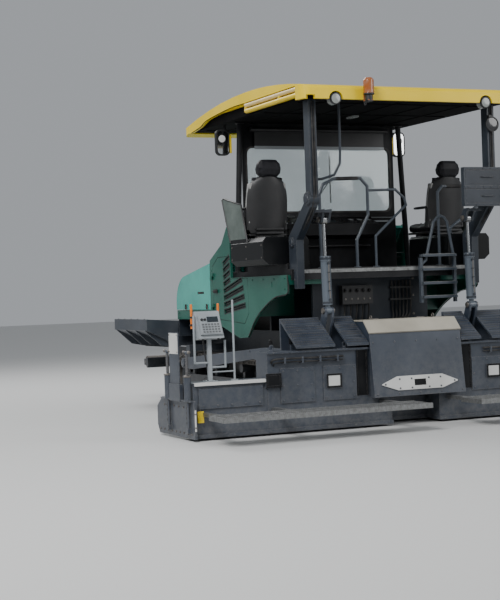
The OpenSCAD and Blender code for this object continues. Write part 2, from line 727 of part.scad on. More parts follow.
// Room under the roof's shell, deeper over the platform than at the front
module pocket(clear, edge, x0) {
    translate([0, 0, lining_z]) linear_extrude(pocket_z - lining_z - clear)
        pocket_plan(roof_t + edge, x0, roof_front - 160 - clear);
    translate([0, 0, lining_z]) linear_extrude(pocket_z + 55 - lining_z - clear)
        pocket_plan(roof_t + edge, x0, roof_front - 560 - clear);
}
// Roof shell: a crowned sheet with a rim, hollow from below, arched along the sides
module roof() {
    color(yellow) {
        difference() {
            intersection() {
                plate_xz(-roof_y, roof_y, roof_outline());
                translate([0, 0, roof_z - 200]) linear_extrude(roof_rim + 400) roof_plan(0, 110);
            }
            translate([0, 0, -40]) pocket(0, 0, roof_rear);
            pocket(0, 0, roof_rear);
            both() {
                plate_xz(roof_y - roof_t - 1, roof_y + 5, [[awning_x0, roof_z - 60], [awning_x0, rim_z],
                    [awning_x1 + 400, rim_z], [dash_x + 360, rim_z - 52], [dash_x + 600, rim_z - 112],
                    [dash_x + 900, roof_z], [dash_x + 900, roof_z - 60]]);
                translate([roof_rear - 20, lamp_y, roof_z]) rotate([0, 90, 0])
                    cylinder(h = roof_t + 60, r = lamp_r + 22);
                slab(roof_rear - 10, roof_rear + roof_t + 10, lamp_y + 250, lamp_y + 350, roof_z - 40, roof_z + 40);
            }
        }
        both() {
            for (z = [rim_z - awning_r - 4, rim_z - 3 * awning_r - 20])
                translate([awning_x0 - 10, roof_y - awning_r - 2, z]) rotate([0, 90, 0])
                    cylinder(h = awning_x1 - awning_x0, r = awning_r);
            for (x = [awning_x0 + 420, awning_x1 - 40])
                slab(x, x + 30, roof_y - awning_r - 12, roof_y - 8, rim_z - 3 * awning_r - 30, rim_z + 5);
        }
    }
}
module roof_lining() {
    color(dark) pocket(fit, lining_edge, roof_rear + roof_t + 60);
}
// Lamps in the roof's rear edge and below its front, each a short can
module work_lamps() {
    color(dark) both() {
        translate([roof_rear + 10, lamp_y, roof_z + 5]) rotate([0, 90, 0])
            cylinder(h = roof_t + 50 - fit, r = lamp_r);
        translate([roof_front - 300, lamp_y, lining_z - fit - lamp_r - 40]) {
            rotate([0, 90, 0]) cylinder(h = 70, r = lamp_r);
            translate([30, 0, lamp_r - 8]) cylinder(h = 48, r = 14);
        }
    }
}
module beacon() {
    x = roof_rear - 72;
    z = roof_z + 50;
    color([0.9, 0.35, 0.05]) {
        translate([x, 590, z]) cylinder(h = 150, r = 58);
        translate([x, 590, z + 150]) cylinder(h = 25, r1 = 58, r2 = 38);
        translate([x, 590, z - 70]) cylinder(h = 75, r = 38);
        slab(x - 40, roof_rear - fit, 560, 620, z - 80, z - 62);
        slab(roof_rear - 14, roof_rear - fit, 560, 620, z - 80, z + 30);
    }
}
module mirrors() {
    x = dash_x + 160;
    y = body_y - 10;
    z = lining_z - 215;
    color(dark) both() {
        rail([[x + 60, y - 60, lining_z - fit], [x + 60, y - 60, lining_z - 110], [x + 30, y, z]], 12);
        translate([x, y, z]) rotate([0, 90, 0]) linear_extrude(44) round_rect(320, 180, 60);
        translate([x + 40, y, z + 30]) rotate([0, 90, 0]) cylinder(h = 30, r1 = 80, r2 = 45);
    }
}

// Rails along the rear edge of the platform
module handrails() {
    x = platform_rear + 50;
    x2 = platform_rear + 200;
    z0 = floor_top + 6;
    leg = seat_y - 390;
    pod_y = seat_y - 215;
    color(dark) {
        for (p = [[x, leg], [x, 352], [x, 106], [x2, -leg - 20]])
            translate([p[0], p[1], floor_top + fit]) cylinder(h = 12, r = tube_r + 22);
        translate([x2, -pod_y, pod_top + fit]) cylinder(h = 12, r = tube_r + 14);
        rail([[x, leg, z0], [x, leg, z0 + 835], [x, leg - 50, z0 + 940], [x, leg - 180, z0 + 1000],
            [x, 283, z0 + 1010], [x, 196, z0 + 920], [x, 196, z0 + 590], [x, 352, z0 + 305], [x, 352, z0]], tube_r);
        rail([[x, 190, z0 + 870], [x, -170, z0 + 880], [x, -285, z0 + 781], [x, -308, z0 + 700],
            [x, -198, z0 + 608], [x, 106, z0 + 348], [x, 106, z0]], tube_r - 3);
        rail([[x2, -leg - 20, z0], [x2, -leg - 20, z0 + 860], [x2, -leg - 80, z0 + 926], [x2, -pod_y - 305, z0 + 930],
            [x2, -pod_y - 410, z0 + 822], [x2, -pod_y - 405, z0 + 702], [x2, -pod_y, z0 + 430],
            [x2, -pod_y, pod_top + 5]], tube_r);
    }
}
// Steps between the platform and the screed
module ladder() {
    x = platform_rear - 45;
    y0 = 337 - floor_y;
    y1 = y0 + 452;
    z0 = floor_z - 370;
    color(dark) {
        for (y = [y0, y1]) slab(x - 20, x + 20, y - 16, y + 16, z0, floor_z + 150);
        for (i = [0 : 3]) slab(x - 60, x + 20, y0, y1, z0 + 50 + 160 * i, z0 + 78 + 160 * i);
        for (y = [y0, y1]) slab(x, platform_rear - fit, y - 16, y + 16, floor_z + 10, floor_z + 50);
        rail([[x, y0, floor_z + 140], [x, y0 + 80, floor_z + 560], [x, y0 + 120, floor_z + 612],
            [x, y0 + 165, floor_z + 630], [x, y0 + 215, floor_z + 610], [x, y0 + 262, floor_z + 560],
            [x, y0 + 382, floor_z + 120], [x, y1, floor_z + 60]], tube_r - 1);
    }
}

// Hopper wing, hinged along the conveyor
module wing(s) {
    hy = wing_hinge[0];
    hz = wing_hinge[1];
    foot = [hy + 30, hz + 10];
    knee = [hy + 0.49 * wing_reach, hz + 50];
    lip = [hy + wing_reach, hz + wing_rise];
    color(slate) side(s) {
        bar_x(wing_rear, wing_front, [foot, knee, [lip[0] - 60, lip[1] - 140], [lip[0] - wing_t - 10, lip[1]],
            lip, [lip[0], lip[1] - 150], [knee[0] + wing_t, knee[1] - wing_t], [foot[0], foot[1] - wing_t]]);
        bar_x(wing_rear, wing_rear + wing_t, [foot, knee, [lip[0] - 30, lip[1] - 140], lip,
            [foot[0] + 60, lip[1] - 60]]);
        bar_x(wing_front - 40, wing_front - 40 + wing_t, [foot, knee, [lip[0] - 30, lip[1] - 140],
            [lip[0] - 330, lip[1] - 190], [foot[0] + 40, foot[1] + 90]]);
        for (x = [wing_rear + 60 : (hopper_len - 160) / 3 : wing_front])
            bar_x(x, x + wing_t, [[knee[0] + wing_t, knee[1] - wing_t], [lip[0] - 5, lip[1] - 140],
                [lip[0] + 0, lip[1] - 160], [knee[0] + 240, knee[1] - 6], [knee[0] + 60, knee[1] - wing_t - 26]]);
        for (x = [wing_rear + 100, wing_front - 220]) {
            translate([x, hy, hz]) rotate([0, 90, 0]) cylinder(h = 120, r = wing_pin_r);
            slab(x, x + 120, hy, foot[0] + 20, hz - 12, hz + 10);
        }
    }
}

// Beam with the rollers that push a lorry, swung on an upright pin
push_in = 45;
push_out = 1110;
push_axle_r = 25;
module push_beam() {
    beam_x = pivot_x + 60;
    color(slate) difference() {
        union() {
            slab(beam_x, roller_x - push_roller_r - 12, -1150, 1150, push_z - 80, push_z + 60);
            slab(pivot_x - 40, beam_x + 10, -50, 50, push_z - 50 + fit, push_z + 50 - fit);
            both() for (y = [12, push_out + 5])
                slab(beam_x + 5, roller_x + 40, y, y + 28, push_z - 45, push_z + 45);
        }
        translate([pivot_x, 0, push_z - 100]) cylinder(h = 200, r = 30 + run);
        bar_y(roller_x, push_z, -1200, 1200, push_axle_r + run);
    }
}
module push_roller(s) {
    color(steel) side(s) {
        bar_y(roller_x, push_z, push_in, push_out, push_roller_r);
        bar_y(roller_x, push_z, 14, push_out + 30, push_axle_r);
    }
}

// Auger with its flight, the right half a mirror image of the left
auger_in = 120;
auger_out = floor_y - 14;
flight_steps = 20;
function flight_ring(i, n, len) =
    let (a = 360 * i / flight_steps, z = i * len / n)
    [for (p = [[38, 0], [auger_r, 0], [auger_r, flight_t], [38, flight_t]])
        [p[0] * cos(a), p[0] * sin(a), z + p[1]]];
module flight(len) {
    n = ceil(flight_steps * len / auger_pitch);
    rings = [for (i = [0 : n]) flight_ring(i, n, len)];
    polyhedron(
        [for (ring = rings) for (p = ring) p],
        concat([[3, 2, 1, 0], [4 * n, 4 * n + 1, 4 * n + 2, 4 * n + 3]],
            [for (i = [0 : n - 1]) for (k = [0 : 3]) let (a = 4 * i + k, b = 4 * i + (k + 1) % 4)
                for (tri = [[a, b, b + 4], [a, b + 4, a + 4]]) tri]));
}
module auger(s) {
    color(steel) side(s) translate([auger_x, auger_in, auger_z]) rotate([-90, 0, 0]) {
        cylinder(h = auger_out - auger_in, r = 45);
        translate([0, 0, 30]) flight(auger_out - auger_in - 60 - flight_t);
    }
}
// Gearbox, bearings and the beam that hangs the augers behind the tractor
module auger_carrier() {
    beam_z = tunnel_z - 80;
    end = auger_out + fit;
    color(slate) {
        slab(auger_x - 60, auger_x + 60, -auger_in + fit, auger_in - fit, auger_z - 130, auger_z + 130);
        slab(auger_x - 20, auger_x + 20, -45, 45, auger_z + 120, beam_z + 5);
        slab(auger_x - 30, auger_x + 30, -end - 25, end + 25, beam_z, beam_z + 55);
        both() {
            slab(auger_x - 60, auger_x + 60, end, end + 25, auger_z - 90, beam_z + 5);
            slab(auger_x + 25, chassis_rear - fit, inner_y + 5, chassis_y - 5, beam_z + 5, beam_z + 50);
        }
    }
}

// Tow arms from the front pins to the basic screed
module tow_arms() {
    color(slate) both() difference() {
        plate_xz(tow_y, tow_y + tow_t, [[tow_x + 80, tow_z - 60], [tow_x + 80, tow_z + 60],
            [dash_x - 1000, base_top + 20], [base_front + fit, base_top + 20], [base_front + fit, base_top - 260],
            [auger_x - 75, base_top - 200], [dash_x - 700, base_top - 120], [tow_x - 300, tow_z - 70]]);
        bar_y(tow_x, tow_z, tow_y - 10, tow_y + tow_t + 10, tow_pin_r + run);
    }
}
// Basic screed with its guide strips and the lift cylinders' lugs
module screed_base() {
    top0 = base_rear + 20;
    plate_top = sole_z + sole_t;
    color(slate) {
        slab(base_rear, base_front, -base_y, base_y, sole_z, plate_top);
        slab(base_rear + 20, base_front - 20, -base_y + 5, base_y - 5, plate_top - 5, 540);
        plate_xz(-base_y + 10, base_y - 10, [[top0, 530], [base_front - 60, 530],
            [base_front - 130, base_top], [top0, base_top]]);
        for (z = strip_z)
            slab(base_rear - gap + fit, base_rear + 40, -base_y + 10, base_y - 10, z, z + strip_h);
        both() {
            slab(top0 + 80, base_front, tow_y - 10, tow_y + tow_t + 10, base_top - 360, base_top + 40);
            for (y = [lift_y - lug_half, lift_y + eye_half + fit]) {
                plate_xz(y, y + lug_t, [[top0, base_top - 10], [top0 + 120, base_top - 10],
                    [top0 + 95, base_top + 150], [lift_low[0] + 42, lift_low[1] - 10], [lift_low[0] - 42, lift_low[1] - 10],
                    [lift_low[0] - 34, lift_low[1] - 70], [top0, base_top + 110]]);
                bar_y(lift_low[0], lift_low[1], y, y + lug_t, 42);
            }
            slab(top0 + 5, top0 + 105, lift_y - lug_half + 5, lift_y + lug_half - 5, base_top - 10, base_top + 60);
            bar_y(lift_low[0], lift_low[1], lift_y - pin_out, lift_y + pin_out, lift_pin_r);
        }
    }
}
// Cover over the middle, where the sliding screeds meet: a back that leans forward under a slope
cover_back = ext_back - 99;
cover_lean = 90;
cover_rim = [cover_back + cover_lean, ext_top + 140];
cover_front = base_rear + 60;
slope_x = cover_rim[0] + 120;
slope_t = 14;
module centre_cover() {
    foot = board_z + 30;
    t = 20;
    top = cover_top - slope_t - fit;
    color(slate) {
        plate_xz(-cover_y, cover_y, [[cover_back, foot], [cover_back + t, foot], [cover_rim[0] + t, cover_rim[1] - 6],
            [slope_x + 8, top - t], [cover_front, top - t], [cover_front, top], [slope_x, top], cover_rim]);
        slab(cover_front - 40, cover_front, -cover_y, cover_y, base_top + fit, top - 5);
        both() {
            plate_xz(cover_y - t, cover_y, [[cover_back + 3, foot], [ext_back - gap, foot],
                [ext_back - gap, ext_top + t], [cover_rim[0] + 5, cover_rim[1] - 10]]);
            plate_xz(cover_y - t, cover_y, [[ext_back - gap - 5, ext_top + t], [cover_front - 5, ext_top + t],
                [cover_front - 5, top - 5], [slope_x, top - 5], [cover_rim[0] + 5, cover_rim[1] - 10]]);
        }
    }
}
module cover_slope() {
    over = 6;
    color(cream) plate_xz(-cover_y - over, cover_y + over, [[cover_rim[0] - over, cover_rim[1] + 2],
        [slope_x, cover_top - slope_t], [cover_front, cover_top - slope_t], [cover_front, cover_top],
        [slope_x - 5, cover_top], [cover_rim[0] - over - 10, cover_rim[1] + slope_t]]);
}
// Long eight-sided plate on the centre cover
module cover_plate() {
    w = 480;
    h = 77;
    flat = w - 195;
    z = 140;
    lean = atan2(cover_lean, cover_rim[1] - board_z - 30);
    color([0.85, 0.85, 0.84]) translate([cover_back, 0, board_z + 30]) rotate([0, lean, 0])
        translate([-12 - fit, 0, z]) rotate([90, 0, 90]) linear_extrude(12) difference() {
            polygon([[-w, 0], [-flat, h], [flat, h], [w, 0], [w, -12], [flat, -h], [-flat, -h], [-w, -12]]);
            square([150, 70], center = true);
        }
}
// Sloping treads beside the centre cover
module screed_steps() {
    x0 = ext_back - 20;
    x1 = base_rear + 60;
    z0 = ext_top + 25;
    z1 = cover_top + 50;
    y0 = cover_y + 12;
    y1 = lift_y - pin_out - gap;
    y2 = lift_y + pin_out + gap;
    y3 = base_y - 30;
    color(slate) both() {
        for (y = [[y0, y1], [y2, y3]]) difference() {
            union() {
                plate_xz(y[0], y[1], [[x0, z0], [x1, z1 - 25], [x1, z1], [x0, z0 + 25]]);
                slab(x1 - 25, x1, y[0], y[1], base_top + fit, z1 - 5);
            }
            for (k = [0.25, 0.5, 0.75])
                translate([x0 + (x1 - x0) * k, (y[0] + y[1]) / 2, z0])
                    cube([26, y[1] - y[0] - 50, 900], center = true);
        }
    }
}

// Lift cylinder: its barrel stands on the basic screed, its rod hangs from the rear post
module lift_barrel(s) {
    color(steel) side(s) difference() {
        union() {
            rod(lift_a + lift_u * 62, lift_a + lift_u * barrel_len, barrel_r);
            rod(lift_a + lift_u * (barrel_len - 45), lift_a + lift_u * (barrel_len + 8), barrel_r + 7);
            rod(lift_a, lift_a + lift_u * 70, eye_half - 2);
            bar_y(lift_a[0], lift_a[2], lift_y - eye_half, lift_y + eye_half, 42);
        }
        bar_y(lift_a[0], lift_a[2], lift_y - 80, lift_y + 80, lift_pin_r + run);
        rod(lift_a + lift_u * 110, lift_a + lift_u * (barrel_len + 20), rod_r + run);
    }
}
module lift_rod(s) {
    rod_in = 130;
    color(steel) side(s) difference() {
        union() {
            rod(lift_a + lift_u * (barrel_len - rod_in), lift_b, rod_r);
            bar_y(lift_b[0], lift_b[2], lift_y - eye_half, lift_y + eye_half, 50);
        }
        bar_y(lift_b[0], lift_b[2], lift_y - 80, lift_y + 80, lift_pin_r + 10);
    }
}

// Sliding screed with its bolted extension
module extension(s) {
    plate_top = sole_z + sole_t;
    color(slate) side(s) {
        slab(ext_back, ext_front, ext_out, end_y, sole_z, plate_top);
        slab(ext_back + 25, ext_front - 10, ext_out + 5, ext_y1, plate_top - 5, ext_top - 15);
        slab(ext_back, ext_front, ext_out + 5, ext_y1, ext_top - 20, ext_top);
        for (z = strip_z)
            slab(ext_front - 15, ext_front, ext_out + 10, ext_y1 - 5, z - 5, z + strip_h + 5);
        slab(ext_back + 30, ext_front - 10, ext_y1 - 5, end_y, plate_top - 5, bolt_on_top - 12);
        slab(ext_back + 10, ext_front - 5, ext_y1, end_y, bolt_on_top - 15, bolt_on_top);
        for (y = [ext_out + 440, ext_out + 950])
            slab(ext_back + 13, ext_back + 30, y, y + 400, 330, 700);
        for (p = [[ext_out + 720, 540], [ext_out + 1440, 580]])
            slab(ext_back - 3, ext_back + 28, p[0] - 90, p[0] + 90, p[1] - 75, p[1] + 75);
        for (y = [ext_out + 1100, ext_out + 1340])
            translate([ext_front - 60, y, ext_top - 5]) cylinder(h = 130, r = 12);
        slab(ext_back + 15, ext_back + 40, ext_y1 + 60, end_y - 60, 330, bolt_on_top - 60);
    }
}
module end_plate(s) {
    x1 = base_front + 430;
    color(slate) side(s) {
        plate_xz(end_y + fit, end_y + 26, [[ext_back - 60, sole_z], [x1 - 60, sole_z], [x1, sole_z + 90],
            [x1, sole_z + 290], [x1 - 160, sole_z + 400], [ext_back - 60, sole_z + 400]]);
        slab(ext_back - 30, x1 - 200, end_y + 26, end_y + 60, sole_z + 385, sole_z + 400);
        for (x = [ext_back + 60, base_front + 20]) {
            slab(x - 25, x + 25, end_y + 20, end_y + 70, sole_z + 60, sole_z + 110);
            translate([x, end_y + 46, sole_z + 100]) cylinder(h = 800, r = 15);
            translate([x, end_y + 46, sole_z + 390]) cylinder(h = 260, r = 38);
            rod([x - 60, end_y + 46, sole_z + 900], [x + 60, end_y + 46, sole_z + 900], 10);
        }
        slab(ext_back + 240, base_front - 60, end_y + 26, end_y + 66, sole_z + 380, sole_z + 560);
        slab(base_front - 330, base_front - 60, end_y + 40, end_y + 52, sole_z + 555, sole_z + 1100);
    }
}
// Walkway board behind a sliding screed, with its brackets
module footboard(s) {
    slots = 14;
    y0 = ext_out;
    y1 = end_y + 20;
    step = (y1 - y0) / slots;
    color(steel) side(s) {
        difference() {
            slab(rear_x, board_x, y0, y1, board_z - 50, board_z);
            for (i = [0 : slots - 1], x = [rear_x + 60, rear_x + 230])
                slab(x, x + 110, y0 + i * step + 25, y0 + (i + 1) * step - 25, board_z - 60, board_z + 10);
        }
        for (y = [y0 + 100, ext_y1 - 100])
            slab(board_x - 20, ext_back + 25 - fit, y, y + 60, board_z - 45, board_z - 5);
        slab(board_x - 20, ext_back + 30 - fit, end_y - 150, end_y - 90, board_z - 45, board_z - 5);
    }
}
// Side control stand on the bolted extension
module screed_console(s) {
    x = ext_back + 130;
    y = end_y - 240;
    z = bolt_on_top + fit;
    color(steel) side(s) {
        slab(x - 60, x + 60, y - 60, y + 60, z, z + 15);
        slab(x - 20, x + 20, y - 20, y + 20, z + 10, z + 480);
        plate_xz(y - 140, y + 140, [[x - 90, z + 460], [x + 50, z + 440], [x + 120, z + 720], [x + 50, z + 740]]);
        plate_xz(y - 120, y + 120, [[x - 100, z + 500], [x - 60, z + 490], [x + 20, z + 690], [x - 10, z + 700]]);
        rail([[x, y + 10, z + 200], [x, y + 165, z + 200], [x, y + 165, z + 700]], 12);
        rail([[x, y - 10, z + 150], [x, y - 180, z + 150], [x, y - 180, z + 430]], 12);
        translate([x, y - 280, z + 4]) cylinder(h = 846, r = 11);
        translate([x, y - 280, z]) cylinder(h = 12, r = 40);
        rail([[x, y - 275, z + 100], [x, y - 15, z + 100]], 8);
    }
}

chassis();
engine_block();
track(1);  // track_left
track(-1);  // track_right
undercarriage(1);  // undercarriage_left
undercarriage(-1);  // undercarriage_right
conveyor();
side_body(1);  // side_body_left
side_body(-1);  // side_body_right
side_door(1);  // side_door_left
side_door(-1);  // side_door_right
hood();
platform();
dash();
seat(1);  // seat_left
seat(-1);  // seat_right
seat_pod(1);  // seat_pod_left
seat_pod(-1);  // seat_pod_right
rear_posts();
front_posts();
windscreen_frame();
windscreen_glass();
roof();
roof_lining();
work_lamps();
beacon();
mirrors();
handrails();
ladder();
wing(1);  // wing_left
wing(-1);  // wing_right
push_beam();
push_roller(1);  // push_roller_left
push_roller(-1);  // push_roller_right
auger(1);  // auger_left
auger(-1);  // auger_right
auger_carrier();
tow_arms();
screed_base();
centre_cover();
cover_slope();
cover_plate();
screed_steps();
lift_barrel(1);  // lift_barrel_left
lift_barrel(-1);  // lift_barrel_right
lift_rod(1);  // lift_rod_left
lift_rod(-1);  // lift_rod_right
extension(1);  // extension_left
extension(-1);  // extension_right
end_plate(1);  // end_plate_left
end_plate(-1);  // end_plate_right
footboard(1);  // footboard_left
footboard(-1);  // footboard_right
screed_console(1);  // screed_console_left
screed_console(-1);  // screed_console_right
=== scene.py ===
import json
import math

import bmesh
import bpy
from mathutils import Matrix, Vector


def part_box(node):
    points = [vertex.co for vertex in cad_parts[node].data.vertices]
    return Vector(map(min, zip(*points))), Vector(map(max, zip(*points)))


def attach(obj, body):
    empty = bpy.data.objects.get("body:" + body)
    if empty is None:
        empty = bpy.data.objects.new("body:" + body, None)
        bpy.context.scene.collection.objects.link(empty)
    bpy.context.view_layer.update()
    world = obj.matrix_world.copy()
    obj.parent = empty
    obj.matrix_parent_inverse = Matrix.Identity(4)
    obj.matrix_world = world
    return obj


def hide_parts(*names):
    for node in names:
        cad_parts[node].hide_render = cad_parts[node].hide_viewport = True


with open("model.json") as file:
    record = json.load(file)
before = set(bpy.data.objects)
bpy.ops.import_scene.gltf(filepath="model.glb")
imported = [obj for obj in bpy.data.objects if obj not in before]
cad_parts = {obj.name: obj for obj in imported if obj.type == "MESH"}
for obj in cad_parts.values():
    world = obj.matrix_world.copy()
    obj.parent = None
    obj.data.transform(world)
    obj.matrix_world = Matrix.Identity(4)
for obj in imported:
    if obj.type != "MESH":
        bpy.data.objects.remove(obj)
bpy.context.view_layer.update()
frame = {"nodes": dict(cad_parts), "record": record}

NODES = frame["nodes"]
SIDES = (("left", 1), ("right", -1))
X, Y, Z = Vector((1, 0, 0)), Vector((0, 1, 0)), Vector((0, 0, 1))

# Camera at the photograph's angle
CAMERA_PLACE = Vector((-15.8686, 7.9485, 1.55))
CAMERA_YAW = -0.4189
CAMERA_PITCH = -0.0074
CAMERA_ROLL = -0.0347
FOCAL_PX = 1397.5
FRAME_H_PX = 600
SENSOR_MM = 36.0

# Studio: half the floor's side, the sky's strength, and lights by name, place, size and watts
FLOOR_HALF = 60.0
SKY = 0.42
LIGHT_TARGET = Vector((0, 0, 1.5))
LIGHTS = (("key", (-9, 10, 11), 6, 1700), ("fill", (-12, -9, 7), 8, 600), ("rim", (9, 3, 10), 7, 900))


def vec(x, y, z):
    return Vector((x, y, z))


def link(obj):
    bpy.context.scene.collection.objects.link(obj)
    return obj


def make_camera():
    cos_yaw, sin_yaw = math.cos(CAMERA_YAW), math.sin(CAMERA_YAW)
    forward = vec(cos_yaw * math.cos(CAMERA_PITCH), sin_yaw * math.cos(CAMERA_PITCH), math.sin(CAMERA_PITCH))
    right = vec(sin_yaw, -cos_yaw, 0.0)
    up = right.cross(forward)
    c, s = math.cos(CAMERA_ROLL), math.sin(CAMERA_ROLL)
    axes = Matrix((right * c + up * s, up * c - right * s, -forward)).transposed()
    data = bpy.data.cameras.new("camera")
    data.sensor_width = SENSOR_MM
    data.lens = FOCAL_PX * SENSOR_MM / FRAME_H_PX
    data.clip_end = 200
    camera = link(bpy.data.objects.new("camera", data))
    camera.matrix_world = Matrix.Translation(CAMERA_PLACE) @ axes.to_4x4()
    bpy.context.scene.camera = camera


def make_stage():
    h = FLOOR_HALF
    mesh = bpy.data.meshes.new("floor")
    mesh.from_pydata([(-h, -h, 0), (h, -h, 0), (h, h, 0), (-h, h, 0)], [], [(0, 1, 2, 3)])
    ground = Nodes("floor")
    ground.set(Base_Color=(0.62, 0.62, 0.61), Roughness=0.9)
    mesh.materials.append(ground.mat)
    floor = link(bpy.data.objects.new("floor", mesh))
    world = bpy.data.worlds.new("studio")
    world.use_nodes = True
    back = world.node_tree.nodes["Background"]
    back.inputs["Color"].default_value = (0.86, 0.9, 0.95, 1)
    back.inputs["Strength"].default_value = SKY
    bpy.context.scene.world = world
    for name, place, size, watts in LIGHTS:
        data = bpy.data.lights.new(name, "AREA")
        data.shape = "DISK"
        data.size = size
        data.energy = watts
        light = link(bpy.data.objects.new(name, data))
        light.location = place
        light.rotation_euler = (LIGHT_TARGET - Vector(place)).to_track_quat("-Z", "Y").to_euler()


# Materials
DRY_DUST = (0.30, 0.28, 0.25)
GREY_DUST = (0.24, 0.22, 0.20)
BARE_METAL = (0.25, 0.24, 0.23)
RIB_ANGLE = 0.785
GUARD_FROM_Y, GUARD_FROM_Z = 1.472, 2.131
MATS = {}


class Nodes:
    """A material's node tree with short calls."""

    def __init__(self, name):
        self.mat = bpy.data.materials.new(name)
        self.mat.use_nodes = True
        self.tree = self.mat.node_tree
        self.bsdf = self.tree.nodes["Principled BSDF"]
        self.coord = self.add("ShaderNodeTexCoord").outputs["Object"]

    def feed(self, socket, value):
        """Links a node's output to a socket, or sets a number or colour on it."""
        if isinstance(value, bpy.types.NodeSocket):
            self.tree.links.new(value, socket)
        else:
            socket.default_value = (*value[:3], 1) if socket.type == "RGBA" else value

    def add(self, kind, sockets=(), **settings):
        node = self.tree.nodes.new(kind)
        for key, value in settings.items():
            setattr(node, key, value)
        for key, value in dict(sockets).items():
            self.feed(node.inputs[key], value)
        return node

    def set(self, **values):
        """Feeds the shader's own sockets; an underscore stands for a space."""
        for key, value in values.items():
            self.feed(self.bsdf.inputs[key.replace("_", " ")], value)

    def noise(self, scale, detail=4.0, rough=0.55, stretch=(1, 1, 1)):
        place = self.add("ShaderNodeMapping", {"Scale": stretch, "Vector": self.coord})
        return self.add("ShaderNodeTexNoise", {"Scale": scale, "Detail": detail, "Roughness": rough,
                                               "Vector": place.outputs["Vector"]}).outputs["Fac"]

    def wave(self, scale, **settings):
        return self.add("ShaderNodeTexWave", {"Scale": scale, "Vector": self.coord}, wave_type="BANDS",
                        **settings).outputs["Fac"]

    def ramp(self, source, low, high, a=0.0, b=1.0):
        return self.add("ShaderNodeMapRange", {"Value": source, "From Min": low, "From Max": high,
                                               "To Min": a, "To Max": b}).outputs["Result"]

    def math(self, kind, a, b=0.0):
        return self.add("ShaderNodeMath", {0: a, 1: b}, operation=kind).outputs["Value"]

    def mix(self, fac, a, b):
        node = self.add("ShaderNodeMix", {"Factor": fac}, data_type="RGBA")
        for name, value in (("A", a), ("B", b)):
            self.feed(next(s for s in node.inputs if s.name == name and s.type == "RGBA"), value)
        return next(s for s in node.outputs if s.type == "RGBA")

    def axis(self, source, name):
        return self.add("ShaderNodeSeparateXYZ", {"Vector": source}).outputs[name]

    def normal(self):
        return self.add("ShaderNodeNewGeometry").outputs["Normal"]

    def chips(self):
        """Worn spots along edges."""
        bevel = self.add("ShaderNodeBevel", {"Radius": 0.012}, samples=4).outputs["Normal"]
        dot = self.add("ShaderNodeVectorMath", {0: bevel, 1: self.normal()}, operation="DOT_PRODUCT")
        spots = self.ramp(self.noise(60.0, 5.0, 0.7), 0.45, 0.6)
        return self.math("MULTIPLY", self.ramp(dot.outputs["Value"], 0.99, 0.86), spots)

    def bump(self, source, strength, distance):
        node = self.add("ShaderNodeBump", {"Strength": strength, "Distance": distance, "Height": source})
        self.set(Normal=node.outputs["Normal"])


def paint(n, color, rough=0.35, dust=0.35, wear=0.5, dust_color=DRY_DUST, low_dirt=0.0, coat=0.0,
          shift=0.12, specular=0.5):
    """Unevenly faded paint: dust on what faces up, splashes low down, bare metal along edges."""
    fine = n.noise(38.0, 6.0, 0.62)
    faded = tuple(min(1.0, c * (1 + shift) + 0.02) for c in color)
    deep = tuple(c * (1 - shift) for c in color)
    base = n.mix(n.ramp(n.noise(1.7, 3.0, 0.5), 0.35, 0.65), deep, faded)
    up = n.ramp(n.axis(n.normal(), "Z"), 0.2, 1.0, 0.15, 1.0)
    film = n.ramp(n.noise(5.0, 5.0, 0.6), 0.38, 0.72)
    amount = n.math("MULTIPLY", n.math("MULTIPLY", up, film), dust)
    if low_dirt:
        low = n.ramp(n.axis(n.coord, "Z"), 1.1, 0.1, 0.0, low_dirt)
        splash = n.ramp(n.noise(14.0, 8.0, 0.75), 0.3, 0.8)
        amount = n.math("MAXIMUM", amount, n.math("MULTIPLY", low, splash))
    out = n.mix(amount, base, dust_color)
    if wear:
        out = n.mix(n.math("MULTIPLY", n.chips(), wear), out, BARE_METAL)
    grain = n.ramp(fine, 0.3, 0.7, -0.04, 0.06)
    n.set(Base_Color=out, Specular_IOR_Level=specular,
          Roughness=n.math("ADD", n.ramp(amount, 0.0, 1.0, rough, rough + 0.4), grain))
    if coat:
        n.set(Coat_Weight=coat, Coat_Roughness=0.12)
    n.bump(fine, 0.12, 0.001)


def metal(n, color, rough, scratch, dirt):
    lines = n.noise(30.0, 6.0, 0.7, scratch)
    stain = n.ramp(n.noise(24.0, 7.0, 0.7), 0.3, 0.8, 0.0, dirt)
    base = n.mix(n.ramp(lines, 0.35, 0.65), tuple(c * 0.75 for c in color), color)
    n.set(Base_Color=n.mix(stain, base, (0.10, 0.09, 0.08)), Roughness=n.ramp(stain, 0.0, 1.0, rough, 0.85),
          Metallic=0.9)
    n.bump(lines, 0.2, 0.001)


def rubber(n, color, rough, dust, grain, depth=0.0015, specular=0.3):
    fine = n.noise(grain, 6.0, 0.65)
    film = n.ramp(n.noise(7.0, 5.0, 0.6), 0.4, 0.7, 0.0, dust)
    n.set(Base_Color=n.mix(film, color, GREY_DUST), Specular_IOR_Level=specular,
          Roughness=n.ramp(fine, 0.3, 0.7, rough - 0.08, rough + 0.1))
    n.bump(fine, 0.35, depth)


def leather(n, color):
    cells = n.add("ShaderNodeTexVoronoi", {"Scale": 240.0, "Vector": n.coord})
    broad = n.noise(9.0, 4.0)
    worn = tuple(c * 1.7 + 0.005 for c in color)
    n.set(Base_Color=n.mix(n.ramp(broad, 0.35, 0.65), color, worn), Specular_IOR_Level=0.22,
          Roughness=n.ramp(broad, 0.3, 0.7, 0.42, 0.6))
    n.bump(cells.outputs["Distance"], 0.25, 0.0008)


def glass(n, tint):
    smear = n.noise(14.0, 4.0, 0.6, (1, 4, 1))
    n.set(Base_Color=tint, IOR=1.45, Transmission_Weight=0.92, Roughness=n.ramp(smear, 0.4, 0.75, 0.03, 0.16))


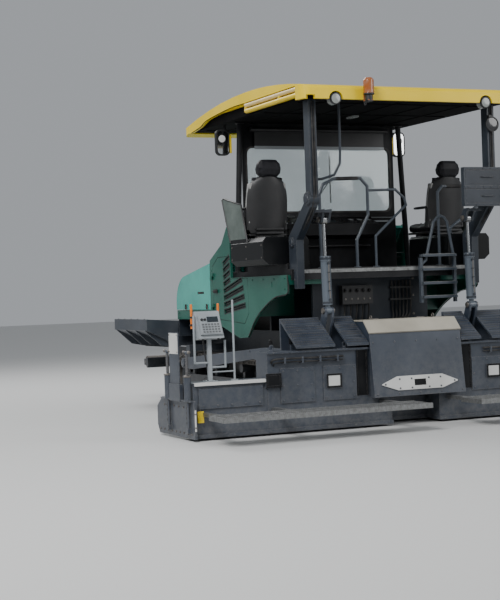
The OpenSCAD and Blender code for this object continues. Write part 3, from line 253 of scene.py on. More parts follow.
def lens(n, color):
    ribs = n.wave(40.0)
    n.set(Base_Color=n.mix(n.ramp(n.noise(20.0), 0.4, 0.7, 0.0, 0.25), color, DRY_DUST), Roughness=0.12,
          Coat_Weight=0.6)
    n.bump(ribs, 0.3, 0.002)


def tread_plate(n, color):
    """Chequered plate: crossed short ribs in a bump, dusty between them."""
    heights = []
    for angle in (RIB_ANGLE, -RIB_ANGLE):
        place = n.add("ShaderNodeMapping", {"Rotation": (0, 0, angle), "Scale": (26.0, 60.0, 1.0),
                                            "Vector": n.coord})
        cells = n.add("ShaderNodeTexVoronoi", {"Scale": 1.0, "Randomness": 0.0,
                                               "Vector": place.outputs["Vector"]}, feature="F1")
        heights.append(n.ramp(cells.outputs["Distance"], 0.42, 0.28))
    ribs = n.math("MAXIMUM", *heights)
    dust = n.math("MULTIPLY", n.ramp(n.noise(4.0, 5.0, 0.6), 0.35, 0.7), n.ramp(ribs, 0.0, 1.0, 0.55, 0.12))
    n.set(Base_Color=n.mix(dust, color, GREY_DUST), Roughness=0.5)
    n.bump(ribs, 0.7, 0.003)


def plain(n, color, rough=0.5, metallic=0.0, grain=120.0, depth=0.0006, coat=0.0):
    """An even finish with fine grain."""
    fine = n.noise(grain, 5.0, 0.6)
    pale = tuple(min(1.0, c * 1.4 + 0.03) for c in color)
    n.set(Base_Color=n.mix(n.ramp(n.noise(5.0, 4.0, 0.6), 0.4, 0.75, 0.0, 0.25), color, pale),
          Roughness=n.ramp(fine, 0.3, 0.7, rough - 0.05, rough + 0.07), Metallic=metallic)
    if coat:
        n.set(Coat_Weight=coat)
    n.bump(fine, 0.2, depth)


def display(n):
    """A switched-off screen behind clear glass."""
    n.set(Base_Color=(0.012, 0.02, 0.026), Roughness=0.08, Coat_Weight=0.8)


def filter_mesh(n):
    """Woven dark mesh behind the louvres."""
    weave = n.math("MAXIMUM", *(n.wave(70.0, bands_direction=axis) for axis in ("X", "Z")))
    n.set(Base_Color=n.mix(weave, (0.003, 0.003, 0.004), (0.022, 0.024, 0.026)), Roughness=0.75)
    n.bump(weave, 0.4, 0.001)


def pod_paint(n):
    """Black paint on the seat boxes, and a grey-green moulded sheet where the thin guard stands up."""
    fine = n.noise(38.0, 6.0, 0.62)
    outside = n.math("GREATER_THAN", n.math("ABSOLUTE", n.axis(n.coord, "Y")), GUARD_FROM_Y)
    mask = n.math("MULTIPLY", outside, n.math("GREATER_THAN", n.axis(n.coord, "Z"), GUARD_FROM_Z))
    black = n.mix(n.ramp(n.noise(2.0, 4.0, 0.6), 0.35, 0.7), (0.003, 0.0035, 0.0045), (0.008, 0.009, 0.010))
    sheet = n.mix(n.ramp(n.noise(3.0, 5.0, 0.6), 0.35, 0.7), (0.075, 0.095, 0.085), (0.15, 0.18, 0.165))
    worn = n.math("MULTIPLY", n.chips(), 0.3)
    n.set(Base_Color=n.mix(worn, n.mix(mask, black, sheet), (0.2, 0.2, 0.2)), Specular_IOR_Level=0.2,
          Roughness=n.ramp(mask, 0.0, 1.0, 0.42, 0.2))
    n.bump(fine, 0.12, 0.001)


def webbing(n, color):
    weave = n.wave(150.0, bands_direction="DIAGONAL")
    n.set(Base_Color=n.mix(weave, color, tuple(c * 1.6 for c in color)), Roughness=0.8)
    n.bump(weave, 0.4, 0.0008)


def look(name, maker, *values, **more):
    nodes = Nodes(name)
    maker(nodes, *values, **more)
    MATS[name] = nodes.mat


# Paint: colour, roughness, dust, wear. Metal: colour, roughness, stretch of scratches, dirt.
# Rubber: colour, roughness, dust, grain, depth. Plain: colour, roughness, metallic, grain, depth.
look("frame_paint", paint, (0.014, 0.021, 0.032), 0.38, 0.15, 0.45, low_dirt=0.45, coat=0.08, specular=0.35)
look("hopper_paint", paint, (0.040, 0.050, 0.066), 0.45, 0.45, 0.8, low_dirt=0.3)
look("engine", paint, (0.03, 0.03, 0.03), 0.6, 0.4, 0.2)
look("track_rubber", rubber, (0.028, 0.027, 0.026), 0.8, 0.55, 60.0, 0.003)
look("wear_steel", metal, (0.30, 0.28, 0.26), 0.42, (1, 10, 1), 0.6)
look("green_paint", paint, (0.0, 0.092, 0.062), 0.32, 0.06, 0.3, coat=0.25, specular=0.35)
# Hood: the body's green made much lighter, a painted highlight that stands in for the sky's sheen on its top
look("hood_paint", paint, (0.02, 0.36, 0.29), 0.2, 0.05, 0.2, coat=0.8)
look("black_paint", paint, (0.004, 0.0045, 0.006), 0.46, 0.04, 0.25, (0.06, 0.06, 0.06), specular=0.15)
look("seat_cover", leather, (0.007, 0.007, 0.009))
look("screen_glass", glass, (0.80, 0.88, 0.88))
look("roof_gelcoat", paint, (0.80, 0.57, 0.0), 0.42, 0.0, 0.0, coat=0.1, shift=0.03, specular=0.3)
look("lining", rubber, (0.003, 0.003, 0.0035), 0.9, 0.01, 120.0, specular=0.08)
look("lamp", lens, (0.26, 0.28, 0.27))
look("beacon_lens", lens, (0.34, 0.085, 0.006))
look("screed_paint", paint, (0.024, 0.036, 0.058), 0.4, 0.20, 0.6, low_dirt=0.4, coat=0.15)
# Pale beige of the screed box's sloped top: partly the plate's worn finish, partly a painted reflection of
# the sky on the slope
look("cream_paint", paint, (0.42, 0.39, 0.32), 0.5, 0.35, 0.4)
look("white_paint", paint, (0.66, 0.66, 0.64), 0.5, 0.3, 0.3)
look("galvanised", metal, (0.36, 0.37, 0.37), 0.5, (1, 6, 1), 0.65)
look("console_paint", paint, (0.30, 0.33, 0.35), 0.4, 0.3, 0.3)
look("cylinder_paint", paint, (0.075, 0.095, 0.120), 0.35, 0.15, 0.3, coat=0.2)
look("rod_chrome", metal, (0.42, 0.43, 0.44), 0.12, (1, 1, 1), 0.15)
look("rail_paint", paint, (0.036, 0.048, 0.064), 0.3, 0.12, 0.35, coat=0.2, specular=0.4)
look("link_steel", metal, (0.10, 0.095, 0.09), 0.5, (1, 1, 1), 0.7)
look("filter_mesh", filter_mesh)
look("pod_paint", pod_paint)
look("rubber_trim", rubber, (0.016, 0.016, 0.017), 0.6, 0.25, 150.0, 0.0006)
look("tread_plate", tread_plate, (0.03, 0.032, 0.035))
look("black_plastic", plain, (0.017, 0.017, 0.018), 0.42)
look("display", display)
look("mirror_face", plain, (0.75, 0.77, 0.78), 0.06, 1.0, 40.0, 0.0)
look("white_plastic", plain, (0.70, 0.70, 0.68), 0.35, coat=0.3)
look("seat_side", leather, (0.20, 0.20, 0.195))
look("belt", webbing, (0.015, 0.015, 0.016))
# Upper awning tubes: the roof's yellow made paler, a painted highlight along their tops
look("awning_tube", plain, (0.66, 0.50, 0.20), 0.38, coat=0.2)
look("smoked_lens", plain, (0.03, 0.03, 0.032), 0.15, 0.0, 60.0, 0.0, 0.8)
look("orange_grip", plain, (0.80, 0.20, 0.02), 0.4, coat=0.2)
look("keypad", plain, (0.10, 0.105, 0.11), 0.5)

# CAD nodes whose finish isn't their slot's, and the slot of each finish that has none of its own
OWN_LOOK = {"seat_pod_left": "pod_paint", "seat_pod_right": "pod_paint", "screed_steps": "screed_paint"}
SLOT_OF = {"rubber_trim": "black_paint", "black_plastic": "black_paint", "filter_mesh": "black_paint",
           "tread_plate": "black_paint", "keypad": "black_paint", "link_steel": "wear_steel",
           "display": "screen_glass", "mirror_face": "screen_glass", "white_plastic": "white_paint",
           "awning_tube": "console_paint", "smoked_lens": "lamp", "orange_grip": "beacon_lens",
           "belt": "seat_cover"}


def dress_nodes():
    for row in frame["record"]["subparts"]:
        slots = NODES[row["node"]].data.materials
        slots.clear()
        slots.append(MATS[OWN_LOOK.get(row["node"], row["material_slot"])])


# Mesh helpers: edges sharper than these angles are kept sharp, or bevelled
SHARP_ANGLE = math.radians(38)
BEVEL_ANGLE = math.radians(50)


def tilt(angle):
    """Turn about the axis across the machine; positive lowers the front."""
    return Matrix.Rotation(angle, 3, "Y")


def circle(r, count, start=0.0):
    """Pairs of coordinates around a circle."""
    angles = (start + 2 * math.pi * k / count for k in range(count))
    return [(r * math.cos(a), r * math.sin(a)) for a in angles]


class Shape:
    """A mesh put together from simple closed forms, in metres."""

    def __init__(self):
        self.bm = bmesh.new()

    def box(self, low, high, turn=None):
        low, high = Vector(low), Vector(high)
        made = bmesh.ops.create_cube(self.bm, size=1.0)["verts"]
        place = Matrix.Translation((low + high) / 2) @ (turn or Matrix.Identity(3)).to_4x4()
        bmesh.ops.transform(self.bm, matrix=place @ Matrix.Diagonal((*(high - low), 1)), verts=made)

    def block(self, centre, half, turn=None):
        """A box by its centre and half sizes."""
        centre, half = Vector(centre), Vector(half)
        self.box(centre - half, centre + half, turn)

    def rod(self, a, b, r, sides=20, r_end=None):
        a, b = Vector(a), Vector(b)
        made = bmesh.ops.create_cone(self.bm, cap_ends=True, segments=sides, radius1=r,
                                     radius2=r_end or r, depth=(b - a).length)["verts"]
        turn = (b - a).to_track_quat("Z", "Y").to_matrix().to_4x4()
        bmesh.ops.transform(self.bm, matrix=Matrix.Translation((a + b) / 2) @ turn, verts=made)

    def ring(self, rows, closed=False):
        """Skins rows of points into faces, with end caps unless closed."""
        rows = [[self.bm.verts.new(p) for p in row] for row in rows]
        pairs = list(zip(rows, rows[1:])) + ([(rows[-1], rows[0])] if closed else [])
        for a, b in pairs:
            for i in range(len(a)):
                j = (i + 1) % len(a)
                self.bm.faces.new((a[i], a[j], b[j], b[i]))
        if not closed:
            self.bm.faces.new(rows[0][::-1])
            self.bm.faces.new(rows[-1])

    def rim(self, outer, inner, x0, x1, y, z):
        """A flat ring from x0 to x1, between two outlines across and up."""
        self.ring([[vec(x, y + p[0], z + p[1]) for x, p in ((x0, o), (x1, o), (x1, i), (x0, i))]
                   for o, i in zip(outer, inner)], closed=True)

    def prism(self, points, step):
        self.ring([[Vector(p) for p in points], [Vector(p) + Vector(step) for p in points]])

    def lathe(self, place, axis, profile, sides=32):
        """A turned form; the profile has (radius, distance along the axis)."""
        turn = Vector(axis).to_track_quat("Z", "Y").to_matrix()
        self.ring([[Vector(place) + turn @ vec(a, b, h) for a, b in circle(r, sides)] for r, h in profile])

    def tube(self, points, r, sides=10, per=6):
        """A round tube along a smooth line through the points."""
        line = smooth_line([Vector(p) for p in points], per)
        side = (line[1] - line[0]).orthogonal().normalized()
        rows = []
        for i, p in enumerate(line):
            ahead = (line[min(i + 1, len(line) - 1)] - line[max(i - 1, 0)]).normalized()
            side = (side - ahead * side.dot(ahead)).normalized()
            up = ahead.cross(side)
            rows.append([p + a * side + b * up for a, b in circle(r, sides)])
        self.ring(rows)

    def bolt(self, place, normal, r=0.012):
        """A hexagon head on its washer."""
        place, normal = Vector(place), Vector(normal).normalized()
        self.rod(place - normal * 0.001, place + normal * r * 0.2, r * 1.35, 16)
        self.rod(place, place + normal * r * 0.85, r, 6, r * 0.93)

    def bolt_circle(self, centre, normal, radius, count, r, start=0.0):
        """Bolts on a circle in a plane along the machine."""
        for x, z in circle(radius, count, start):
            self.bolt(Vector(centre) + vec(x, 0, z), normal, r)


def smooth_line(points, per):
    """Points of a smooth curve through the given ones."""
    ends = [2 * points[0] - points[1]] + points + [2 * points[-1] - points[-2]]
    line = []
    for i in range(1, len(ends) - 2):
        a, b, c, d = ends[i - 1:i + 3]
        for t in (k / per for k in range(per)):
            line.append(0.5 * (2 * b + (c - a) * t + (2 * a - 5 * b + 4 * c - d) * t * t
                               + (3 * b - 3 * c + d - a) * t ** 3))
    return line + [points[-1]]


def across(y, points):
    """Points of one section at a distance y."""
    return [vec(x, y, z) for x, z in points]


def rounded(w, h, r, steps=6):
    """Points of a centred rounded rectangle, in two coordinates."""
    points = []
    for cx, cy, a0 in ((1, 1, 0), (-1, 1, 90), (-1, -1, 180), (1, -1, 270)):
        for a in (math.radians(a0 + 90 * k / steps) for k in range(steps + 1)):
            points.append((cx * (w / 2 - r) + r * math.cos(a), cy * (h / 2 - r) + r * math.sin(a)))
    return points


def to_object(name, shape):
    bmesh.ops.recalc_face_normals(shape.bm, faces=shape.bm.faces)
    mesh = bpy.data.meshes.new(name)
    shape.bm.to_mesh(mesh)
    shape.bm.free()
    return link(bpy.data.objects.new(name, mesh))


def add(body, name, shape, mat, bevel=0.0, slot=None):
    """Turns a shape into an object that rides on a body."""
    obj = to_object(name, shape)
    obj.data.shade_smooth()
    obj.data.set_sharp_from_angle(angle=SHARP_ANGLE)
    obj.data.materials.append(MATS[mat])
    if bevel:
        edge = obj.modifiers.new("edge", "BEVEL")
        edge.width = bevel
        edge.segments = 2
        edge.limit_method = "ANGLE"
        edge.angle_limit = BEVEL_ANGLE
        edge.harden_normals = True
    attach(obj, body)
    slot = slot or SLOT_OF.get(mat)
    slot or mat
    return obj


def add_all(body, ending, *rows):
    """Adds rows of name, shape, finish, bevel and slot."""
    for name, *row in rows:
        add(body, name + ending, *row)


def ends_of(node):
    """Lowest and highest corner of a CAD node, and its middle."""
    low, high = (Vector(p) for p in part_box(node))
    return low, high, (low + high) / 2


# Tracks: steel shoe plates, link plates with pins, wheel and roller bolts
AXLE_GAP = 2.7
WHEEL_R = 0.275
LINK_T = 0.05
SHOES = 44
ROLLERS = 7
ROLLER_Z = 0.1753
# Turned profiles, radius and distance: caps, rims and the wheel's flange
WHEEL_CAP = ((0.0005, 0.014), (0.028, 0.012), (0.044, 0.006), (0.05, -0.004))
WHEEL_RIM = ((0.252, -0.002), (0.258, 0.01), (0.238, 0.012), (0.23, -0.002))
WHEEL_FLANGE = ((0.118, -0.002), (0.115, 0.022), (0.07, 0.03), (0.065, 0.0))
ROLLER_CAP = ((0.0005, 0.012), (0.022, 0.011), (0.034, 0.005), (0.05, -0.002))
ROLLER_RIM = ((0.076, -0.002), (0.074, 0.004), (0.062, 0.005), (0.06, -0.002))


def loop_at(d, r):
    """Place and angle at a distance along the track's loop, as in the CAD source."""
    half, turn = AXLE_GAP / 2, math.pi * r
    if d < AXLE_GAP:
        return -half + d, -r, 0.0
    if d < AXLE_GAP + turn:
        a = (d - AXLE_GAP) / r
        return half + r * math.sin(a), -r * math.cos(a), a
    if d < 2 * AXLE_GAP + turn:
        return half - (d - AXLE_GAP - turn), r, math.pi
    a = math.pi + (d - 2 * AXLE_GAP - turn) / r
    return -half + r * math.sin(a), -r * math.cos(a), a


def dress_tracks():
    chain_r = WHEEL_R + LINK_T
    pitch = (2 * AXLE_GAP + 2 * math.pi * chain_r) / SHOES
    for side, _ in SIDES:
        low, high, centre = ends_of("track_" + side)
        half_w = (high.y - low.y) / 2
        plates, links = Shape(), Shape()
        for i in range(SHOES):
            x, z, a = loop_at((i + 0.5) * pitch, chain_r)
            turn = tilt(-a)
            ahead, out = turn @ X, turn @ -Z
            base = vec(centre.x + x, centre.y, high.z / 2 + z)
            plates.block(base + out * 0.004, (pitch * 0.445, half_w + 0.004, 0.005), turn)
            for k in (-1, 1):
                face = base - out * 0.026 + Y * k * (half_w - 0.002)
                links.block(face, (pitch * 0.40, 0.006, 0.017), turn)
                for q in (-0.27, 0.27):
                    pin = face + ahead * pitch * q
                    links.rod(pin, pin + Y * k * 0.011, 0.012, 12)
        add_all("machine", "_" + side, ("shoe_plates", plates, "wear_steel", 0.0015),
                ("track_links", links, "link_steel"))


def dress_undercarriages():
    for side, s in SIDES:
        low, high, _ = ends_of("undercarriage_" + side)
        _, track_top, centre = ends_of("track_" + side)
        axle_z = track_top.z / 2
        out = max(abs(low.y), abs(high.y))
        normal = Y * s
        shape = Shape()
        for x in (centre.x - AXLE_GAP / 2, centre.x + AXLE_GAP / 2):
            shape.lathe((x, s * out, axle_z), normal, WHEEL_CAP, 28)
            face = vec(x, s * (abs(centre.y) + 0.075), axle_z)
            shape.lathe(face, normal, WHEEL_RIM, 48)
            shape.lathe(face, normal, WHEEL_FLANGE, 36)
            shape.bolt_circle(face + normal * 0.026, normal, 0.094, 12, 0.008)
        for i in range(ROLLERS):
            x = centre.x - AXLE_GAP / 2 + 0.26 + i * (AXLE_GAP - 0.52) / (ROLLERS - 1)
            face = vec(x, s * (out - 0.036), ROLLER_Z)
            shape.lathe(face, normal, ROLLER_CAP, 24)
            shape.lathe(face, normal, ROLLER_RIM, 28)
        for i in range(12):
            shape.bolt((centre.x - 0.95 + i * 1.9 / 11, s * (out - 0.007), axle_z - 0.085), normal, 0.010)
        for x in (centre.x - 0.5, centre.x + 0.5):
            shape.box((x - 0.17, s * (out - 0.007), axle_z - 0.03),
                      (x + 0.17, s * (out - 0.001), axle_z + 0.055))
            for dx in (-0.15, 0.15):
                for dz in (-0.018, 0.042):
                    shape.bolt((x + dx, s * (out - 0.001), axle_z + dz), normal, 0.006)
        add("machine", "wheel_details_" + side, shape, "frame_paint", 0.001)


# Body: gaskets, louvre filters and blades, handles, bolts
FLOOR_TOP = 1.76
DASH_X = -0.3
BODY_Y = 1.245
LOUVRES = 8
HOOD_REAR = 0.401
DOOR_OUTLINE = ((-0.76, 1.27), (-0.64, 1.15), (0.31, 1.21), (0.31, 1.85), (0.12, 1.96), (-0.24, 1.96),
                (-0.24, 1.685), (-0.76, 1.685))
BODY_BOLTS = ((-1.78, 1.66), (-1.5, 1.66), (-1.2, 1.66), (-0.9, 1.66), (-1.78, 1.54), (0.36, 1.26),
              (0.36, 1.8), (0.7, 1.275), (1.1, 1.275), (1.5, 1.275), (0.7, 1.215), (1.1, 1.215),
              (1.5, 1.215))
HANDLE_LINE = ((-0.045, 0), (-0.035, 0.02), (0.035, 0.02), (0.045, 0))
ARCH_EDGE = ((-1.84, 1.693), (-1.84, 1.498), (-1.5, 1.45), (-1.145, 1.313), (-0.93, 1.183), (-0.74, 1.003))


def louvre_frames():
    """Front point, tilt and length of each louvre's slot, as in the CAD source."""
    for i in range(LOUVRES):
        z = 1.29 + i * (1.96 - 1.15 - 0.225) / (LOUVRES - 1)
        length = 0.640 - 0.022 * i if z < 1.59 else 0.205
        yield DASH_X + 0.262, z, math.radians(7 + 16 * i / (LOUVRES - 1)), length


def dress_doors():
    for side, s in SIDES:
        filters, blades, trim, frames = Shape(), Shape(), Shape(), Shape()
        for x, z, a, length in louvre_frames():
            turn = tilt(a)
            ahead, up, half = turn @ X, turn @ Z, length / 2
            filters.block(vec(x, s * (BODY_Y - 0.0205), z) - ahead * half,
                          (half - 0.001, 0.0012, 0.0222), turn)
            face = vec(x, s * (BODY_Y + 0.0002), z) - ahead * half
            for k in (-1, 1):
                frames.block(face + up * k * 0.0285, (half + 0.009, 0.0022, 0.0055), turn)
                frames.block(face + ahead * k * (half + 0.0045), (0.0045, 0.0022, 0.024), turn)
            front = vec(x, s * (BODY_Y - 0.004), z) - ahead * 0.002 + up * 0.003
            back = front - Y * s * 0.014 - up * 0.014
            blades.prism([front, front + up * 0.002, back + up * 0.002, back], ahead * (0.004 - length))
        y = s * (BODY_Y - 0.012)
        centre = vec(-0.2, y, 1.55)
        loop = [p + (p - centre).normalized() * 0.003 for p in across(y, DOOR_OUTLINE)]
        for a, b in zip(loop, loop[1:] + loop[:1]):
            trim.rod(a, b, 0.0026, 8)
        grip = vec(0.205, s * (BODY_Y + 0.016), 1.545)
        trim.box(grip - vec(0.058, 0.003, 0.022), grip + vec(0.058, 0.004, 0.022))
        trim.tube([grip + vec(dx, s * dy, 0) for dx, dy in HANDLE_LINE], 0.006, 8, 5)
        trim.lathe(grip + Y * s * 0.004, Y * s, [(0.012, 0), (0.011, 0.005), (0.003, 0.006)], 20)
        add_all("side_door_" + side, "_" + side, ("louvre_filters", filters, "filter_mesh"),
                ("louvre_blades", blades, "black_plastic"),
                ("louvre_frames", frames, "black_plastic", 0.0008), ("door_trim", trim, "rubber_trim"))


def dress_body():
    trim, bolts = Shape(), Shape()
    for _, s in SIDES:
        for x, z in BODY_BOLTS:
            bolts.bolt((x, s * BODY_Y, z), Y * s, 0.009)
        trim.tube(across(s * (BODY_Y - 0.004), ARCH_EDGE), 0.007, 8, 6)
        plate = vec(-1.35, s * (BODY_Y + 0.003), 1.6)
        bolts.box(plate - vec(0.09, 0.003, 0.03), plate + vec(0.09, 0.002, 0.03))
    add_all("machine", "", ("body_trim", trim, "rubber_trim"), ("body_bolts", bolts, "green_paint", 0.0008))


def dress_hood():
    trim, latches = Shape(), Shape()
    for _, s in SIDES:
        trim.box((HOOD_REAR + 0.222, s * (BODY_Y - 0.0085), 1.517),
                 (HOOD_REAR + 0.438, s * (BODY_Y - 0.0025), 1.543))
        for k in range(9):
            x = HOOD_REAR + 0.235 + k * 0.0237
            trim.box((x, s * (BODY_Y - 0.004), 1.519), (x + 0.006, s * (BODY_Y - 0.0005), 1.541))
        trim.tube([(0.398, s * (BODY_Y - 0.005), z) for z in (1.32, 1.6, 1.89)], 0.006, 8, 2)
        for x in (0.52, 1.25):
            latch = vec(x, s * (BODY_Y + 0.002), 1.35)
            latches.block(latch, (0.022, 0.004, 0.03))
            trim.rod(latch + vec(0, s * 0.004, 0.026), latch + vec(0, s * 0.015, 0.026), 0.012, 16)
            trim.tube([latch + vec(0, s * y, z) for y, z in ((0.010, 0.026), (0.016, 0.0), (0.010, -0.03))],
                      0.006, 8, 4)
    for y in (-0.88, 0.92):
        latches.rod((1.624, y - 0.024, 1.345), (1.624, y - 0.021, 1.345), 0.012, 16)
    x = ends_of("hood")[0].x + 0.004
    trim.tube([(x, -1.15, 1.903), (x, 0, 1.905), (x, 1.15, 1.903)], 0.006, 8, 3)
    add_all("hood", "", ("hood_trim", trim, "rubber_trim"), ("hood_latches", latches, "wear_steel", 0.001))


# Hopper: rubber flaps and bolts along each wing's front edge, across and up; caps on the push rollers
WING_LINE = ((0.7705, 0.81), (1.1775, 0.85), (1.5725, 1.06), (1.6065, 1.2))
WING_LIP = 1.6205


def dress_hopper():
    for side, s in SIDES:
        flap, bolts, caps = Shape(), Shape(), Shape()
        x1 = ends_of("wing_" + side)[1].x
        for (ya, za), (yb, zb) in zip(WING_LINE, WING_LINE[1:]):
            normal = vec(0, s * (za - zb), yb - ya).normalized()
            for t in (0.2, 0.5, 0.8):
                for x in (x1 - 0.015, x1 - 0.075):
                    bolts.bolt((x, s * (ya + (yb - ya) * t), za + (zb - za) * t), normal, 0.008)
            edge = ((ya, za - 0.004), (yb, zb - 0.004), (yb, zb - 0.054), (ya, za - 0.054))
            flap.prism([(x1 - 0.012, s * y, z) for y, z in edge], (0.010, 0, 0))
        for k in range(5):
            bolts.bolt((1.85 + k * 0.27, s * WING_LIP, WING_LINE[-1][1]), Z, 0.009)
        low, high, middle = ends_of("push_roller_" + side)
        for y, k in ((low.y + 0.03, -1), (high.y - 0.03, 1)):
            caps.bolt_circle((middle.x, y, middle.z), Y * k, 0.058, 6, 0.007)
        for y in (0.2, 0.45, 0.7, 0.95):
            caps.lathe((middle.x, s * y, middle.z), Y, [(0.0845, -0.004), (0.0868, 0), (0.0845, 0.004)], 40)
        add_all("wing_" + side, "_" + side, ("wing_flap", flap, "rubber_trim", 0, "track_rubber"),
                ("wing_bolts", bolts, "hopper_paint", 0.0008))
        add("push_roller_" + side, "push_roller_caps_" + side, caps, "wear_steel")


def dress_augers():
    for side, s in SIDES:
        middle = ends_of("auger_" + side)[2]
        shape = Shape()
        for k in range(5):
            spot = vec(middle.x, s * (0.2 + k * 0.215), middle.z)
            shape.lathe(spot, Y, [(0.044, -0.03), (0.053, -0.028), (0.053, 0.028), (0.044, 0.03)], 28)
            for a in (0.4, 2.5, 4.6):
                out = vec(math.cos(a), 0, math.sin(a))
                shape.bolt(spot + out * 0.052, out, 0.007)
        add("auger_" + side, "auger_sleeves_" + side, shape, "wear_steel", 0.0008)


CHAIN_PITCH = 0.0625


def dress_conveyor():
    """Two chains a side, with link plates and rollers."""
    shape = Shape()
    low, high, _ = ends_of("conveyor")
    top = low.z + 0.05
    for y in (0.06, -0.06, 0.6265, -0.6265):
        x = low.x + 0.04
        while x < high.x - 0.06:
            shape.box((x, y - 0.019, top), (x + 0.045, y - 0.012, top + 0.022))
            shape.box((x, y + 0.012, top), (x + 0.045, y + 0.019, top + 0.022))
            shape.rod((x + 0.008, y - 0.021, top + 0.012), (x + 0.008, y + 0.021, top + 0.012), 0.006, 8)
            x += CHAIN_PITCH
    add("machine", "conveyor_chains", shape, "link_steel")


# Platform: tread plate, edge strip, instrument panel, controls and windscreen
PANEL = vec(-0.3925, 0, 2.365)
# Turned profiles, radius and distance: gauge and its face, switch, sleeve, wheel and lamp
GAUGE = ((0.046, -0.002), (0.046, 0.01), (0.039, 0.013), (0.036, 0.006), (0.001, 0.006))
GAUGE_FACE = ((0.035, 0), (0.0345, 0.001), (0.001, 0.001))
SWITCH = ((0.013, -0.001), (0.012, 0.012), (0.009, 0.016), (0.001, 0.017))
SLEEVE = ((0.042, -0.05), (0.047, -0.04), (0.047, 0.04), (0.042, 0.05))
WHEEL = ((0.02, 0), (0.016, 0.04), (0.062, 0.045), (0.066, 0.055), (0.058, 0.06), (0.001, 0.052))
SMALL_LAMP = ((0.009, -0.001), (0.008, 0.008), (0.001, 0.009))
STAND_X, STAND_Y = -0.65, 0.62
KNOB = ((0.032, -0.002), (0.028, 0.018), (0.012, 0.03), (0.008, 0.075), (0.02, 0.085), (0.021, 0.12),
        (0.012, 0.135), (0.001, 0.137))


def dress_platform():
    floor, strip, trim = Shape(), Shape(), Shape()
    floor.box((-1.885, -0.9, FLOOR_TOP), (-0.31, 0.9, FLOOR_TOP + 0.003))
    strip.box((-1.906, -1.09, 1.712), (-1.9002, 1.09, 1.752))
    for k in range(12):
        strip.bolt((-1.906, -1.0 + k * 2.0 / 11, 1.732), -X, 0.008)
    for _, s in SIDES:
        trim.tube([(x, s * 1.19, 1.823) for x in (-1.78, -1.3, -0.72)], 0.006, 8, 2)
    add_all("machine", "", ("floor_tread", floor, "tread_plate"),
            ("platform_strip", strip, "galvanised", 0.0008), ("platform_trim", trim, "rubber_trim"))


def dress_dash():
    dark, bright, knobs, glow = Shape(), Shape(), Shape(), Shape()
    turn = tilt(-math.atan2(0.07, 0.195))
    ahead, up = turn @ X, turn @ Z

    def on_panel(u, y, lift=0.0):
        return PANEL + ahead * u + Y * y + up * lift

    dark.block(on_panel(0, 0, 0.004), (0.075, 0.15, 0.008), turn)
    glow.block(on_panel(0, 0, 0.0125), (0.06, 0.13, 0.001), turn)
    for y in (-0.62, -0.5, -0.38, 0.38, 0.5, 0.62):
        dark.lathe(on_panel(0.03, y), up, GAUGE)
        bright.lathe(on_panel(0.03, y, 0.0065), up, GAUGE_FACE)
        for dy in (-0.025, 0.025):
            knobs.lathe(on_panel(-0.055, y + dy), up, SWITCH, 18)
    for y in (-0.27 + k * 0.0415 for k in range(14)):
        if abs(y) > 0.16:
            spot = on_panel(0.03, y)
            dark.box(spot - vec(0.014, 0.009, 0.005), spot + vec(0.014, 0.009, 0.012), turn)
    for z in (2.415, 2.365):
        for y in (-1.0, 0.705):
            bright.box((-0.309, y, z - 0.009), (-0.3, y + 0.295, z + 0.009))
    for z in (2.17 + k * 0.026 for k in range(7)):
        for y in (-0.42, 0.07):
            dark.box((-0.325, y, z), (-0.299, y + 0.35, z + 0.013))
    dark.tube([(-0.3, -0.62, 2.05), (-0.345, -0.6, 2.06), (-0.345, 0.0, 2.06), (-0.345, 0.6, 2.06),
               (-0.3, 0.62, 2.05)], 0.014, 12, 6)
    for z in (0.12, 0.24, 0.36, 0.48):
        dark.lathe((-0.63, STAND_Y, FLOOR_TOP + z), Z, SLEEVE, 28)
    turn = tilt(-math.atan2(0.08, 0.22))
    up = turn @ Z
    for dy in (-0.12, 0.12):
        knobs.lathe(vec(STAND_X, STAND_Y + dy, 2.361) - turn @ X * 0.02, up, KNOB, 24)
    knobs.lathe((STAND_X, STAND_Y, 2.366), up, WHEEL)
    for k in range(5):
        bright.lathe((-0.74, 0.48 + k * 0.07, 2.328), up, SMALL_LAMP, 14)
    add_all("machine", "", ("dash_fittings", dark, "black_plastic", 0.0015),
            ("dash_strips", bright, "console_paint", 0.0008), ("dash_knobs", knobs, "black_plastic"),
            ("dash_display", glow, "display"))


def dress_windscreen():
    seal, wiper, roller = Shape(), Shape(), Shape()
    w, h, x, z = 2.01, 0.81, -0.283, 2.89
    for x0, x1 in ((x - 0.022, x - 0.004), (x + 0.004, x + 0.022)):
        seal.rim(rounded(w + 0.012, h + 0.012, 0.095), rounded(w - 0.03, h - 0.03, 0.078), x0, x1, 0, z)
    pivot = vec(-0.258, 0.15, 2.465)
    wiper.lathe(pivot, X, [(0.024, -0.012), (0.022, 0.012), (0.012, 0.018), (0.001, 0.019)], 20)
    wiper.tube([pivot + vec(0.012, 0, 0), pivot + vec(0.014, -0.14, 0.2), pivot + vec(0.002, -0.30, 0.42)],
               0.006, 8, 6)
    wiper.box(pivot + vec(-0.014, -0.31, 0.14), pivot + vec(0.003, -0.298, 0.72))
    wiper.box((-0.345, 0.06, 3.36), (-0.302, 0.24, 3.42))
    wiper.rod((-0.335, -0.95, 3.5), (-0.335, 0.95, 3.5), 0.026, 24)
    wiper.box((-0.3365, -0.9, 3.3), (-0.3335, 0.9, 3.5))
    roller.box((-0.342, -0.9, 3.262), (-0.328, 0.9, 3.3))
    add_all("machine", "", ("screen_seal", seal, "rubber_trim"), ("wiper", wiper, "black_plastic", 0.001),
            ("sun_blind", roller, "console_paint", 0.001))


# Seats: padded pieces on a moulded shell, bellows under the cushion
SEAT = vec(-1.31, 1.2, 0)
SEAT_Z = 2.29
SEAT_HALF = 0.24
SEAT_TOP = SEAT_Z + 0.75
POD_TOP = 2.13
CLOTH_FRAMES = 12
SMOOTH_STEPS = 4
VOXEL = 0.007
CLOTH = {"use_pressure": True, "uniform_pressure_force": 4.0, "tension_stiffness": 25.0,
         "compression_stiffness": 25.0, "quality": 4}
